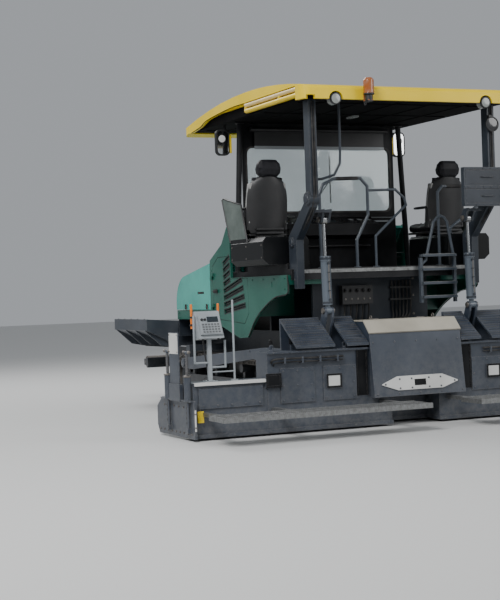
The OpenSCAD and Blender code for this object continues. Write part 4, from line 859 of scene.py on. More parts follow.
# Height above the cushion and half width of the seat shell's back
SHELL_ROWS = ((-0.10, 0.205), (-0.05, 0.236), (0.05, 0.252), (0.16, 0.258), (0.28, 0.257), (0.37, 0.248),
              (0.44, 0.230), (0.49, 0.205), (0.525, 0.172), (0.545, 0.130))
BELT_LINE = ((0.11, 0.225, -0.06), (0.15, 0.222, 0.0), (0.2, 0.15, 0.012), (0.23, 0.04, 0.014))


def swell(obj, cap):
    """Blows a closed form up like a cushion by a cloth simulation, each point moving by the cap at most."""
    bpy.context.view_layer.objects.active = obj
    obj.data.remesh_voxel_size = VOXEL
    with bpy.context.temp_override(object=obj, active_object=obj, selected_objects=[obj]):
        bpy.ops.object.voxel_remesh()
    before = [v.co.copy() for v in obj.data.vertices]
    cloth = obj.modifiers.new("cloth", "CLOTH")
    for key, value in CLOTH.items():
        setattr(cloth.settings, key, value)
    cloth.settings.effector_weights.gravity = 0.0
    cloth.collision_settings.use_collision = False
    cloth.collision_settings.use_self_collision = False
    for f in range(1, CLOTH_FRAMES + 1):
        bpy.context.scene.frame_set(f)
    blown = obj.evaluated_get(bpy.context.evaluated_depsgraph_get())
    after = [v.co.copy() for v in blown.to_mesh().vertices]
    blown.to_mesh_clear()
    obj.modifiers.remove(cloth)
    for vert, old, new in zip(obj.data.vertices, before, after):
        move = new - old
        vert.co = old + (move * (cap / move.length) if move.length > cap else move)
    bpy.context.scene.frame_set(1)
    obj.modifiers.new("soft", "SMOOTH").iterations = SMOOTH_STEPS


def back_x(z):
    return SEAT.x + 0.105 - 0.06 * ((z - (SEAT_Z - 0.09)) / 0.65)


def cushion(t):
    y = SEAT.y - SEAT_HALF + 0.012 + t * (2 * SEAT_HALF - 0.024)
    pinch = 0.012 if t in (0.0, 1.0) else 0.0
    front, rear = SEAT.x + 0.548 - pinch, SEAT.x + 0.10
    top = SEAT_Z - 0.014 - pinch + 0.012 * abs(2 * t - 1)
    return across(y, ((rear, SEAT_Z - 0.1), (front - 0.02, SEAT_Z - 0.095), (front, SEAT_Z - 0.05),
                      (front - 0.03, top), (rear + 0.2, top - 0.008), (rear, top)))


def backrest(t):
    y = SEAT.y - SEAT_HALF + 0.054 + t * (2 * SEAT_HALF - 0.108)
    z0, z1 = SEAT_Z + 0.012, SEAT_TOP - 0.205
    return across(y, ((back_x(z0) - 0.06, z0), (back_x(z0) + 0.005, z0 + 0.01),
                      (back_x(z0 + 0.16) + 0.012, z0 + 0.16), (back_x(z1 - 0.1), z1 - 0.1),
                      (back_x(z1) - 0.02, z1), (back_x(z1) - 0.07, z1 - 0.01)))


def bolster(t, k):
    z = SEAT_Z + 0.015 + t * 0.46
    x, y, lean, w = back_x(z), SEAT.y + k * (SEAT_HALF - 0.032), 0.05 * t * t, 0.026 * (1 - 0.35 * t)
    return [vec(px, py, z) for px, py in ((x - 0.07, y - w), (x + 0.055 - lean, y - w), (x + 0.062 - lean, y),
                                          (x + 0.055 - lean, y + w), (x - 0.07, y + w))]


def headrest(t):
    edge = 0.045 if t in (0.0, 1.0) else 0.0
    x, z0, z1 = SEAT.x - 0.02, SEAT_TOP - 0.212 + edge, SEAT_TOP - 0.012 - edge
    return across(SEAT.y - 0.138 + t * 0.276, ((x - 0.055, z0), (x + 0.03, z0), (x + 0.042, (z0 + z1) / 2),
                                               (x + 0.012, z1), (x - 0.055, z1), (x - 0.072, (z0 + z1) / 2)))


def armrest(t, k):
    section = ((-0.021, 0.176), (0.021, 0.176), (0.024, 0.19), (0.017, 0.2), (-0.017, 0.2), (-0.024, 0.19))
    return [vec(SEAT.x + 0.07 + t * 0.275, SEAT.y + k * 0.245 + dy, SEAT_Z + dz) for dy, dz in section]


# Padded pieces: name, section at a share of the length, its side, steps, cap on the swelling, finish
PADS = (("cushion", cushion, (), 6, 0.014, "seat_cover"), ("backrest", backrest, (), 6, 0.014, "seat_cover"),
        ("bolster_a", bolster, (1,), 6, 0.010, "seat_side"),
        ("bolster_b", bolster, (-1,), 6, 0.010, "seat_side"),
        ("headrest", headrest, (), 6, 0.010, "seat_cover"),
        ("armrest_a", armrest, (1,), 4, 0.005, "seat_cover"),
        ("armrest_b", armrest, (-1,), 4, 0.005, "seat_cover"))


def shell_row(y, dz, half):
    """Section of the seat's back shell: bowed to the rear, its edges turned forward."""
    x = SEAT.x + 0.028 - 0.06 * ((dz + 0.09) / 0.65)
    rear = [(x - 0.042 * (1 - u * u) + 0.022 * u ** 4, y + u * half) for u in (k / 6 for k in range(-6, 7))]
    front = [(x + 0.006 + 0.03 * u ** 4, y + u * (half - 0.006)) for u in (k / 4 for k in range(4, -5, -1))]
    return [vec(px, py, SEAT_Z + dz) for px, py in rear + front]


def dress_seats():
    for name, section, k, steps, cap, mat in PADS:
        shape = Shape()
        shape.ring([section(i / steps, *k) for i in range(steps + 1)])
        left = to_object("seat_%s_left" % name, shape)
        swell(left, cap)
        left.data.shade_smooth()
        left.data.materials.append(MATS[mat])
        right = left.copy()
        right.data = left.data.copy()
        right.name = "seat_%s_right" % name
        right.data.transform(Matrix.Translation((0, -2 * SEAT.y, 0)))
        for obj in (left, link(right)):
            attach(obj, "machine")
    for side, s in SIDES:
        x, y = SEAT.x, s * SEAT.y
        seat = vec(x, y, SEAT_Z)
        shell, bellows, belt = Shape(), Shape(), Shape()
        shell.ring([shell_row(y, dz, half) for dz, half in SHELL_ROWS])
        shell.box(seat + vec(0.02, -0.235, -0.13), seat + vec(0.54, 0.235, -0.105))
        for z in (-0.155, -0.11, -0.065):
            shell.box(seat + vec(-0.05, -0.17, z), seat + vec(0.012, 0.17, z + 0.025))
        for k in (-1, 1):
            shell.box(seat + vec(0.045, k * 0.24 - 0.014, -0.06), seat + vec(0.095, k * 0.24 + 0.014, 0.178))
            shell.rod(seat + vec(-0.032, k * 0.07, 0.53), seat + vec(-0.032, k * 0.07, 0.60), 0.009, 12)
            belt.tube([seat + vec(dx, k * dy, dz) for dx, dy, dz in BELT_LINE], 0.012, 6, 5)
        belt.box(seat + vec(0.205, -0.035, 0.006), seat + vec(0.255, 0.035, 0.026))
        for k in range(5):
            fold = 0.012 * (k % 2)
            bellows.prism([(x + 0.29 + a, y + b, POD_TOP + 0.004 + 0.0098 * k)
                           for a, b in rounded(0.34 - fold, 0.30 - fold, 0.04, 4)], (0, 0, 0.0094))
        shell.box((x + 0.14, y - 0.14, POD_TOP + 0.001), (x + 0.44, y + 0.14, SEAT_Z - 0.125))
        obj = add("machine", "seat_shell_" + side, shell, "black_plastic", 0.004, "seat_cover")
        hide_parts("seat_" + side)
        add_all("machine", "_" + side, ("seat_bellows", bellows, "rubber_trim", 0.002, "seat_cover"),
                ("seat_belt", belt, "belt", 0.001))


POD_Y = 1.488
GUARD = ((-0.85, 2.10), (-0.64, 2.62), (-0.69, 2.63), (-1.19, 2.525), (-1.34, 2.07))
STICK = ((0.024, -0.002), (0.02, 0.012), (0.007, 0.02), (0.006, 0.06), (0.017, 0.07), (0.019, 0.105),
         (0.009, 0.118), (0.001, 0.12))


def dress_pods():
    for side, s in SIDES:
        rim, bits, knobs = Shape(), Shape(), Shape()
        rim.tube(across(s * 1.484, GUARD), 0.0105, 10, 1)
        for x, z in ((-0.80, 2.2), (-0.74, 2.36), (-1.0, 2.56), (-1.27, 2.3)):
            bits.bolt((x, s * POD_Y, z), Y * s, 0.008)
        bits.box((-1.62, s * 1.40 - 0.05, POD_TOP - 0.003), (-1.48, s * 1.40 + 0.05, POD_TOP + 0.004))
        for x in (-1.72, -1.3, -0.9):
            for z in (1.9, 2.04):
                bits.bolt((x, s * (POD_Y + 0.0015), z), Y * s, 0.008)
        base = vec(-1.0, s * 1.03, POD_TOP)
        knobs.box(base - vec(0.06, 0.045, 0.001), base + vec(0.09, 0.045, 0.05))
        knobs.lathe(base + vec(0.01, 0, 0.05), (0.15, 0, 1), STICK, 20)
        for dy in (-0.025, 0.0, 0.025):
            knobs.lathe(base + vec(0.06, dy, 0.05), Z, [(0.008, -0.001), (0.007, 0.007), (0.001, 0.008)], 12)
        add_all("machine", "_" + side, ("guard_rim", rim, "black_plastic"),
                ("pod_bolts", bits, "wear_steel", 0.0008), ("pod_controls", knobs, "black_plastic", 0.002))


# Roof: awning tubes, lamp lenses by end, place and direction, ribs of the lining; beacon and mirrors
AWNING_Y = 1.3235
AWNING_REAR, AWNING_FRONT = -2.42, -1.064
GUTTER = ((-1.05, 3.708), (-0.65, 3.708), (0.06, 3.656), (0.3, 3.596), (0.6, 3.558))
LAMPS = (("rear", -2.5935, 3.565, -1), ("front", 0.6305, 3.4727, 1))
BEACON = vec(-2.672, 0.59, 0)
BEACON_FOOT = ((0.0385, 3.538), (0.042, 3.541), (0.042, 3.6), (0.0605, 3.603), (0.0605, 3.617),
               (0.056, 3.619))


def dress_roof():
    tubes, lower, ends, ribs, cab = Shape(), Shape(), Shape(), Shape(), Shape()
    for side, s in SIDES:
        y = s * AWNING_Y
        for z, shape in ((3.684, tubes), (3.620, lower)):
            shape.rod((AWNING_REAR, y, z), (AWNING_FRONT, y, z), 0.0252, 24)
            shape.box((AWNING_REAR, y - 0.025, z - 0.026), (AWNING_FRONT, y + 0.005, z + 0.0245))
            for x in (AWNING_REAR + 0.002, AWNING_FRONT - 0.002):
                ends.rod((x - 0.004, y, z), (x + 0.004, y, z), 0.0256, 24)
        ribs.tube(across(s * 1.347, GUTTER), 0.0045, 8, 4)
        for end, x, z, k in LAMPS:
            spot, face = vec(x, s * 0.95, z), Shape()
            ends.lathe(spot, X * k, [(0.0625, -0.03), (0.0645, 0.002), (0.0545, 0.005), (0.053, -0.001)], 40)
            face.lathe(spot, X * k, [(0.053, 0.0005), (0.04, 0.004), (0.001, 0.0055)], 40)
            add("machine", "lamp_lens_%s_%s" % (end, side), face, "lamp")
    for y in (-0.9, -0.45, 0.0, 0.45, 0.9):
        ribs.box((-2.3, y - 0.015, 3.568), (0.55, y + 0.015, 3.576))
    for x in (-2.2, -1.3, -0.45, 0.45):
        ribs.box((x - 0.015, -1.2, 3.567), (x + 0.015, 1.2, 3.5765))
    cab.prism([(-1.2 + a, b, 3.5665) for a, b in rounded(0.2, 0.09, 0.03, 4)], (0, 0, -0.018))
    # The upper tubes get the paler yellow, a painted highlight; the lower boxes keep the roof's own yellow
    add_all("machine", "", ("awning_tubes", tubes, "awning_tube", 0.001),
            ("awning_boxes", lower, "roof_gelcoat", 0.001),
            ("roof_fittings", ends, "black_plastic", 0.001, "lining"), ("lining_ribs", ribs, "lining", 0.001),
            ("cab_lamp", cab, "lamp", 0.002))


def dress_beacon():
    cover, base = Shape(), Shape()
    profile = [(0.056, 3.615)]
    for z in (3.622 + k * 0.0115 for k in range(12)):
        profile += [(0.0595, z), (0.0578, z + 0.006)]
    profile += [(0.055, 3.765), (0.045, 3.779), (0.025, 3.785), (0.001, 3.786)]
    cover.lathe(BEACON, Z, profile, 40)
    base.lathe(BEACON, Z, BEACON_FOOT, 36)
    base.box((-2.713, 0.559, 3.528), (-2.5995, 0.621, 3.5395))
    base.tube(across(0.61, ((-2.652, 3.533), (-2.642, 3.505), (-2.615, 3.5), (-2.602, 3.535))), 0.006, 8, 6)
    add_all("machine", "", ("beacon_cover", cover, "beacon_lens"),
            ("beacon_base", base, "black_plastic", 0.001))


def dress_mirrors():
    x, z = -0.14, 3.36
    for side, s in SIDES:
        y = s * 1.235
        face, rim, marker, tab = Shape(), Shape(), Shape(), Shape()
        face.prism([(x - 0.003, y + a, z + b) for a, b in rounded(0.148, 0.285, 0.05)], (0.002, 0, 0))
        rim.rim(rounded(0.179, 0.318, 0.062), rounded(0.149, 0.286, 0.05), x - 0.007, x + 0.003, y, z)
        marker.lathe((x - 0.004, y + s * 0.012, z + 0.045), -X, [(0.044, 0), (0.043, 0.004), (0.001, 0.006)])
        tab.box((x - 0.012, y - s * 0.1 - 0.012, z - 0.13), (x + 0.01, y - s * 0.1 + 0.012, z + 0.09))
        add_all("machine", "_" + side, ("mirror_face", face, "mirror_face"),
                ("mirror_rim", rim, "black_plastic"), ("mirror_marker", marker, "white_plastic"),
                ("mirror_tab", tab, "roof_gelcoat", 0.003))


# Posts: hub caps by place and radius, the lines down each rear post, a round lamp, the locker's trim
HUBS = ((-2.31, 2.51, 0.078), (-1.9, 2.06, 0.055))
# The hub cap's profile: share of its radius and distance
HUB_PROFILE = ((0.96, -0.003), (0.93, 0.006), (0.6, 0.008), (0.52, 0.016), (0.5, 0.016))
POST_LINE = ((-2.398, 3.56), (-2.4, 3.2), (-2.4, 2.75), (-2.395, 2.56), (-2.32, 2.385), (-2.1, 2.19))
LAMP_BODY = ((0.03, 0.0), (0.045, 0.02), (0.078, 0.045), (0.086, 0.05), (0.086, 0.068), (0.076, 0.07),
             (0.072, 0.062))
LOCKER_X, LOCKER_Z = -2.4525, 2.41


def dress_posts():
    caps, pipes, lamp, face = Shape(), Shape(), Shape(), Shape()
    for _, s in SIDES:
        for x, z, r in HUBS:
            for y, k in ((1.199, 1), (1.081, -1)):
                spot, normal = vec(x, s * y, z), Y * s * k
                profile = [(r * share, h) for share, h in HUB_PROFILE] + [(0.001, 0.016)]
                caps.lathe(spot, normal, profile, 36)
                caps.bolt_circle(spot + normal * 0.007, normal, r * 0.76, 6, 0.0075, 0.3)
        for z in (2.75, 3.0, 3.3, 3.5):
            caps.box((-2.394, s * 1.14 - 0.012, z - 0.006), (-2.39, s * 1.14 + 0.012, z + 0.006))
        for y, r in ((1.15, 0.009), (1.125, 0.006)):
            pipes.tube(across(s * y, POST_LINE), r, 8, 6)
        for x in (-1.83, -1.92):
            for z in (1.73, 1.64):
                caps.bolt((x, s * 1.185, z), Y * s, 0.010)
    spot = vec(-2.392, -1.12, 3.34)
    lamp.lathe(spot, -X, LAMP_BODY, 40)
    lamp.box(spot + vec(-0.03, -0.02, 0.02), spot + vec(0.0, 0.02, 0.11))
    face.lathe(spot - X * 0.0625, -X, [(0.073, 0), (0.05, 0.005), (0.001, 0.007)], 36)
    add_all("machine", "", ("post_caps", caps, "frame_paint", 0.0008), ("post_lines", pipes, "rubber_trim"),
            ("post_lamp", lamp, "black_plastic", 0.001), ("post_lamp_lens", face, "smoked_lens"))


def dress_locker():
    shape = Shape()
    x = LOCKER_X
    for k in range(6):
        for dz in (0.015, 0.215, 0.425):
            shape.bolt((x - 0.008, -1.28 + k * 0.102, LOCKER_Z + dz), -X, 0.007)
    for z in (LOCKER_Z + 0.115, LOCKER_Z + 0.33):
        shape.tube([(x + 0.002, -1.1, z), (x - 0.02, -1.09, z), (x - 0.02, -0.96, z), (x + 0.002, -0.95, z)],
                   0.007, 8, 5)
        shape.box((x - 0.003, -1.31, z - 0.075), (x + 0.001, -0.74, z + 0.075))
    add("machine", "locker_trim", shape, "frame_paint", 0.0015)


def dress_rails():
    sleeves, pads = Shape(), Shape()
    for a, b in (((-1.85, 0.6, 2.769), (-1.85, 0.32, 2.7755)), ((-1.7, -0.95, 2.692), (-1.7, -1.22, 2.6955))):
        sleeves.rod(a, b, 0.0215)
    for z in (1.408 + 0.16 * i for i in range(4)):
        for x in (-2.001 + 0.026 * k for k in range(3)):
            pads.box((x, -0.85, z), (x + 0.016, -0.44, z + 0.004))
        for y in (-0.872, -0.42):
            pads.bolt((-1.965, y, z - 0.014), -X, 0.006)
    add_all("machine", "", ("rail_sleeves", sleeves, "rubber_trim", 0.002),
            ("ladder_treads", pads, "galvanised"))


# Wall below the platform's rear: rigid lines in clamps, a valve block and bolts
def dress_rear_wall():
    wall = ends_of("chassis")[0].x
    lines, blocks, bolts = Shape(), Shape(), Shape()
    for k in range(6):
        y, x, z = -0.52 + 0.05 * k, wall - 0.022, 1.06 - 0.03 * k
        lines.tube([(x, y, 1.60), (x, y, 1.30), (x, y + 0.03, 1.18 - 0.012 * k),
                    (x, y + 0.16 + 0.06 * k, z + 0.04), (x, y + 0.42 + 0.06 * k, z), (x, 0.66, z)],
                   0.0105, 10, 6)
    for z in (1.52, 1.38):
        blocks.box((wall - 0.034, -0.55, z - 0.012), (wall - 0.0005, -0.24, z + 0.012))
    for y in (0.36, 0.56):
        blocks.box((wall - 0.034, y - 0.012, 0.885), (wall - 0.0005, y + 0.012, 1.085))
    blocks.box((wall - 0.085, 0.02, 1.34), (wall - 0.0005, 0.42, 1.56))
    for y in (0.06 + 0.08 * k for k in range(5)):
        blocks.rod((wall - 0.11, y, 1.50), (wall - 0.08, y, 1.50), 0.022)
        blocks.rod((wall - 0.122, y, 1.50), (wall - 0.108, y, 1.50), 0.011, 6)
        lines.tube([(wall - 0.05, y, 1.345), (wall - 0.05, y, 1.27), (wall - 0.045, y + 0.01, 1.19),
                    (wall - 0.03, y + 0.02, 1.12)], 0.010, 10, 6)
        bolts.bolt((wall - 0.085, y, 1.40), -X, 0.009)
    for y in (-0.57, 0.55):
        for z in (0.98, 1.2, 1.42, 1.62):
            bolts.bolt((wall, y, z), -X, 0.011)
    add_all("machine", "", ("wall_lines", lines, "rubber_trim"),
            ("wall_blocks", blocks, "black_plastic", 0.002), ("wall_bolts", bolts, "wear_steel", 0.0008))


# Lift cylinders: from the foot's pin to the eye's
LIFT_FOOT = vec(-2.20, 0, 1.29)
LIFT_EYE = vec(-2.16, 0, 2.29)
LIFT_Y = 0.93
# Distance along the cylinder and behind it
LIFT_LINE = ((0.12, -0.078), (0.22, -0.07), (0.3, -0.068), (0.42, -0.07), (0.52, -0.078))
PIN_CAP = ((0.032, -0.01), (0.032, 0.004), (0.024, 0.008), (0.001, 0.008))


def dress_lifts():
    axis = (LIFT_EYE - LIFT_FOOT).normalized()
    for side, s in SIDES:
        low = LIFT_FOOT + Y * s * LIFT_Y
        gland, lines, eye, foot = Shape(), Shape(), Shape(), Shape()
        gland.lathe(low, axis, [(0.0555, 0.075), (0.058, 0.078), (0.058, 0.095), (0.0555, 0.098)], 36)
        gland.lathe(low, axis, [(0.0615, 0.556), (0.064, 0.56), (0.064, 0.586), (0.058, 0.595), (0.03, 0.601),
                                (0.0185, 0.602)], 36)
        for share in (0.12, 0.52):
            port = low + axis * share - X * 0.05
            gland.rod(port, port - X * 0.03, 0.014, 12)
            gland.rod(port + vec(-0.028, 0, -0.012), port + vec(-0.028, 0, 0.02), 0.010, 6)
        lines.tube([low + axis * share + X * dx for share, dx in LIFT_LINE], 0.007, 8, 5)
        for share in (0.22, 0.32, 0.42):
            spot = low + axis * share
            gland.box(spot + vec(-0.078, -0.012, -0.006), spot + vec(-0.05, 0.012, 0.006))
        for shape, pin in ((eye, LIFT_EYE), (foot, LIFT_FOOT)):
            for k in (-1, 1):
                shape.lathe(pin + Y * (s * LIFT_Y + k * 0.066), Y * k, PIN_CAP, 28)
        add_all("lift_barrel_" + side, "_" + side, ("lift_gland", gland, "frame_paint", 0.0008),
                ("lift_line", lines, "wear_steel"))
        add("machine", "lift_pin_caps_" + side, eye, "wear_steel")
        add("screed", "lift_foot_caps_" + side, foot, "wear_steel")


# Screed: bolts, conduit, frames and a painted-shade channel lining on the extensions, strips on the boards
# and steps, side controls
SCREED_BACK = -2.466
SCREED_FRONT = -2.146
SLIDE_IN = 0.3
CLEAR_Y = 0.9
SLIDE_OUT = 1.8
END_Y = 2.65
BOLT_ON_TOP = 0.6
SCREED_TOP = 0.88
SOLE_Z = 0.025
BOARD_FRONT = -2.9
BOARD_REAR = -3.3
BOARD_Z = 0.3
BOARD_BAYS = 14
TOOTH_PITCH = 0.022
# Conduits: height, distance behind the wall, bend's Y and rise, end's Y and Z, radius, sides
CONDUITS = ((0.80, 0.012, 1.70, 0.002, 1.76, 0.76, 0.012, 12),
            (0.765, 0.007, 1.68, 0.001, 1.73, 0.73, 0.007, 10))
# Sides of a plate's frame: shift across and up, half sizes across and up
PLATE_FRAME = ((0, 0.066, 0.09, 0.009), (0, -0.066, 0.09, 0.009), (0.081, 0, 0.009, 0.057),
               (-0.081, 0, 0.009, 0.057))
FILLER = ((0.0125, 0), (0.019, 0.004), (0.02, 0.055), (0.012, 0.0655), (0.001, 0.066))
# Lifting eyes: distance from the middle and height; the tall one stands on a turned foot
EYE_LINE = ((-0.018, 0.004), (-0.02, 0.03), (0, 0.044), (0.02, 0.03), (0.018, 0.004))
TALL_EYE_LINE = ((-0.018, 0.016), (-0.02, 0.05), (0, 0.066), (0.02, 0.05), (0.018, 0.016))
EYE_FOOT = ((0.03, -0.002), (0.03, 0.008), (0.018, 0.012), (0.016, 0.02), (0.001, 0.021))
# One tooth of a board's tread: a small block that narrows upward
TOOTH = ((-0.006, -0.007, -0.001), (0.006, -0.007, -0.001), (0.004, -0.005, 0.007), (-0.004, -0.005, 0.007))


def dress_extensions():
    x = SCREED_BACK
    for side, s in SIDES:
        bolts, lines, dark, pale = Shape(), Shape(), Shape(), Shape()
        for y in (SLIDE_IN + d for d in (0.47, 0.64, 0.81, 0.98, 1.15, 1.32)):
            for z in (0.36, 0.515, 0.67):
                bolts.bolt((x + 0.013, s * y, z), -X, 0.009)
        for dx, start, gap, count, z, r in ((0, SLIDE_IN + 0.06, 0.205, 12, SOLE_Z + 0.02, 0.008),
                                            (0, CLEAR_Y + 0.07, 0.19, 5, SCREED_TOP - 0.01, 0.006),
                                            (0.015, SLIDE_OUT + 0.1, 0.16, 5, 0.36, 0.009)):
            for k in range(count):
                bolts.bolt((x + dx, s * (start + k * gap), z), -X, r)
        for z, out, bend, rise, end_y, end_z, r, sides in CONDUITS:
            lines.tube([(x + 0.02, s * CLEAR_Y, z), (x - out, s * (CLEAR_Y + 0.04), z + 0.002),
                        (x - out, s * 1.2, z), (x - out, s * bend, z + rise), (x + 0.015, s * end_y, end_z)],
                       r, sides, 8)
        for k in range(4):
            y = s * (CLEAR_Y + 0.08 + k * 0.21)
            for x0, x1, z0, z1 in ((-0.0255, 0.027, 0.752, 0.757), (-0.0255, 0.027, 0.813, 0.818),
                                   (-0.0275, -0.0245, 0.752, 0.818)):
                bolts.box((x + x0, y - 0.012, z0), (x + x1, y + 0.012, z1))
        for d, z, plate in ((0.72, 0.54, pale), (1.44, 0.58, dark)):
            y = s * (SLIDE_IN + d)
            plate.box((x - 0.0055, y - 0.07, z - 0.055), (x - 0.0025, y + 0.07, z + 0.055))
            for dy, dz, hy, hz in PLATE_FRAME:
                dark.box((x - 0.009, y + dy - hy, z + dz - hz), (x - 0.002, y + dy + hy, z + dz + hz))
        # Painted shade: black lining on the sides and back of the shadowed channel beside the raised panel
        y0, y1 = sorted((s * 0.60, s * 0.73))
        for dx, ya, yb in ((0.010, y0, y0 + 0.012), (0.010, y1 - 0.012, y1), (0.021, y0, y1)):
            dark.box((x + dx, ya, 0.36), (x + 0.026, yb, 0.85))
        y0, y1 = sorted((s * (SLIDE_OUT + 0.02), s * (END_Y - 0.01)))
        pale.box((x - 0.004, y0, BOLT_ON_TOP - 0.03), (x + 0.0095, y1, BOLT_ON_TOP + 0.003))
        pale.box((x - 0.004, y0, BOLT_ON_TOP + 0.0002), (x + 0.05, y1, BOLT_ON_TOP + 0.0035))
        for z in (0.17, 0.72):
            front = SCREED_FRONT - 0.004
            lines.rod((front, s * (SLIDE_IN + 0.1), z), (front, s * (SLIDE_IN + 0.16), z), 0.008, 10)
        for y in (SLIDE_IN + 1.1, SLIDE_IN + 1.34):
            dark.lathe((SCREED_FRONT - 0.06, s * y, SCREED_TOP + 0.06), Z, FILLER, 20)
        for y in (SLIDE_IN + 0.5, SLIDE_OUT - 0.12):
            spot = vec(x + 0.16, s * y, SCREED_TOP)
            bolts.lathe(spot, Z, EYE_FOOT, 24)
            bolts.tube([spot + vec(0, dy, dz) for dy, dz in TALL_EYE_LINE], 0.006, 8, 6)
        add_all("screed_" + side, "_" + side, ("extension_bolts", bolts, "screed_paint", 0.0008),
                ("extension_lines", lines, "rubber_trim"), ("extension_frames", dark, "black_paint", 0.001),
                ("extension_plates", pale, "white_paint", 0.001))


def dress_boards():
    y0, y1 = SLIDE_IN, END_Y + 0.02
    step = (y1 - y0) / BOARD_BAYS
    for side, s in SIDES:
        teeth, bars = Shape(), Shape()
        for i in range(int((y1 - y0) / TOOTH_PITCH)):
            y = y0 + (i + 0.5) * TOOTH_PITCH
            for x in (BOARD_REAR + 0.012, BOARD_REAR + 0.2, BOARD_FRONT - 0.02):
                teeth.prism([(x + dx, s * (y + dy), BOARD_Z + dz) for dx, dy, dz in TOOTH], (0, s * 0.011, 0))
        for y in (s * (y0 + (i + 0.5) * step) for i in range(BOARD_BAYS)):
            for x in (BOARD_REAR + 0.06, BOARD_REAR + 0.23):
                for bar in (x + 0.011 + k * 0.0293 for k in range(4)):
                    bars.box((bar - 0.002, y - step / 2 + 0.02, BOARD_Z - 0.03),
                             (bar + 0.002, y + step / 2 - 0.02, BOARD_Z - 0.001))
                for bar in (y - 0.034, y, y + 0.034):
                    bars.box((x - 0.004, bar - 0.002, BOARD_Z - 0.026),
                             (x + 0.114, bar + 0.002, BOARD_Z - 0.008))
        add_all("screed_" + side, "_" + side, ("board_teeth", teeth, "galvanised"),
                ("board_bars", bars, "galvanised"))


def dress_steps():
    strips = Shape()
    a, b = vec(-2.486, 0, 0.93), vec(-2.08, 0, 1.22)
    slope = (b - a).normalized()
    up = vec(-slope.z, 0, slope.x)
    turn = tilt(-math.atan2(b.z - a.z, b.x - a.x))
    for _, s in SIDES:
        for y0, y1 in ((0.592, 0.8577), (1.0023, 1.47)):
            count = int((y1 - y0) / 0.026)
            for share in (0.06, 0.14, 0.34, 0.42, 0.58, 0.66, 0.84, 0.92):
                for i in range(count):
                    centre = a + (b - a) * share + up * 0.001 + Y * s * (y0 + (i + 0.5) * (y1 - y0) / count)
                    strips.box(centre - vec(0.004, 0.007, 0.003), centre + vec(0.004, 0.007, 0.004), turn)
    add("screed", "step_strips", strips, "wear_steel")


def dress_cover():
    turn = tilt(math.atan2(0.09, 0.69))
    hole, bolts, lifts = Shape(), Shape(), Shape()

    def on_cover(x, y, z):
        return vec(-2.565, 0, 0.33) + turn @ vec(x, y, z)

    hole.block(on_cover(-0.0018, 0, 0.14), (0.0012, 0.074, 0.0345), turn)
    plate_bolts = [(y, 0.134 + dz) for y in (-0.26, -0.11, 0.11, 0.26) for dz in (-0.05, 0.05)]
    for y, z in plate_bolts + [(-0.44, 0.134), (0.44, 0.134)]:
        bolts.bolt(on_cover(-0.0123, y, z), turn @ -X, 0.008)
    for y in (-0.54, -0.27, 0, 0.27, 0.54):
        for z in (0.03, 0.6):
            bolts.bolt(on_cover(0, y, z), turn @ -X, 0.009)
    for y in (-0.4, 0.4):
        spot = vec(-2.2, y, 1.17)
        lifts.box(spot - vec(0.03, 0.02, 0.001), spot + vec(0.03, 0.02, 0.006))
        lifts.tube([spot + vec(dx, 0, dz) for dx, dz in EYE_LINE], 0.006, 8, 6)
    for y in (-0.3, 0.3):
        lifts.rod((-2.1, y - 0.05, 1.17), (-2.1, y + 0.05, 1.17), 0.009, 16)
    add_all("screed", "", ("cover_hole", hole, "black_paint"), ("cover_bolts", bolts, "screed_paint", 0.0008),
            ("cover_eyes", lifts, "wear_steel", 0.0008))


def dress_tow_arms():
    shape = Shape()
    for _, s in SIDES:
        hub, normal = vec(1.23, s * 1.322, 0.62), Y * s
        shape.lathe(hub, normal, [(0.052, -0.002), (0.052, 0.012), (0.036, 0.016), (0.001, 0.017)], 36)
        shape.bolt_circle(hub + normal * 0.011, normal, 0.042, 6, 0.006)
        for x, z in ((-1.78, 0.80), (-1.78, 0.70), (-1.68, 0.80), (-1.62, 0.72), (-1.2, 0.83), (-0.9, 0.83)):
            shape.bolt((x, s * 1.312, z), normal, 0.012)
    add("screed", "tow_arm_bolts", shape, "screed_paint", 0.0008)


# End plates: the spindle's cap, its collar and thread
SPINDLE_CAP = ((0.011, 0), (0.017, 0.004), (0.018, 0.02), (0.010, 0.026), (0.001, 0.027))
COLLAR = ((0.0385, 0), (0.043, 0.003), (0.043, 0.016), (0.03, 0.022), (0.0155, 0.024))
THREAD = ((0.0152, 0), (0.0172, 0.0025), (0.0152, 0.005))


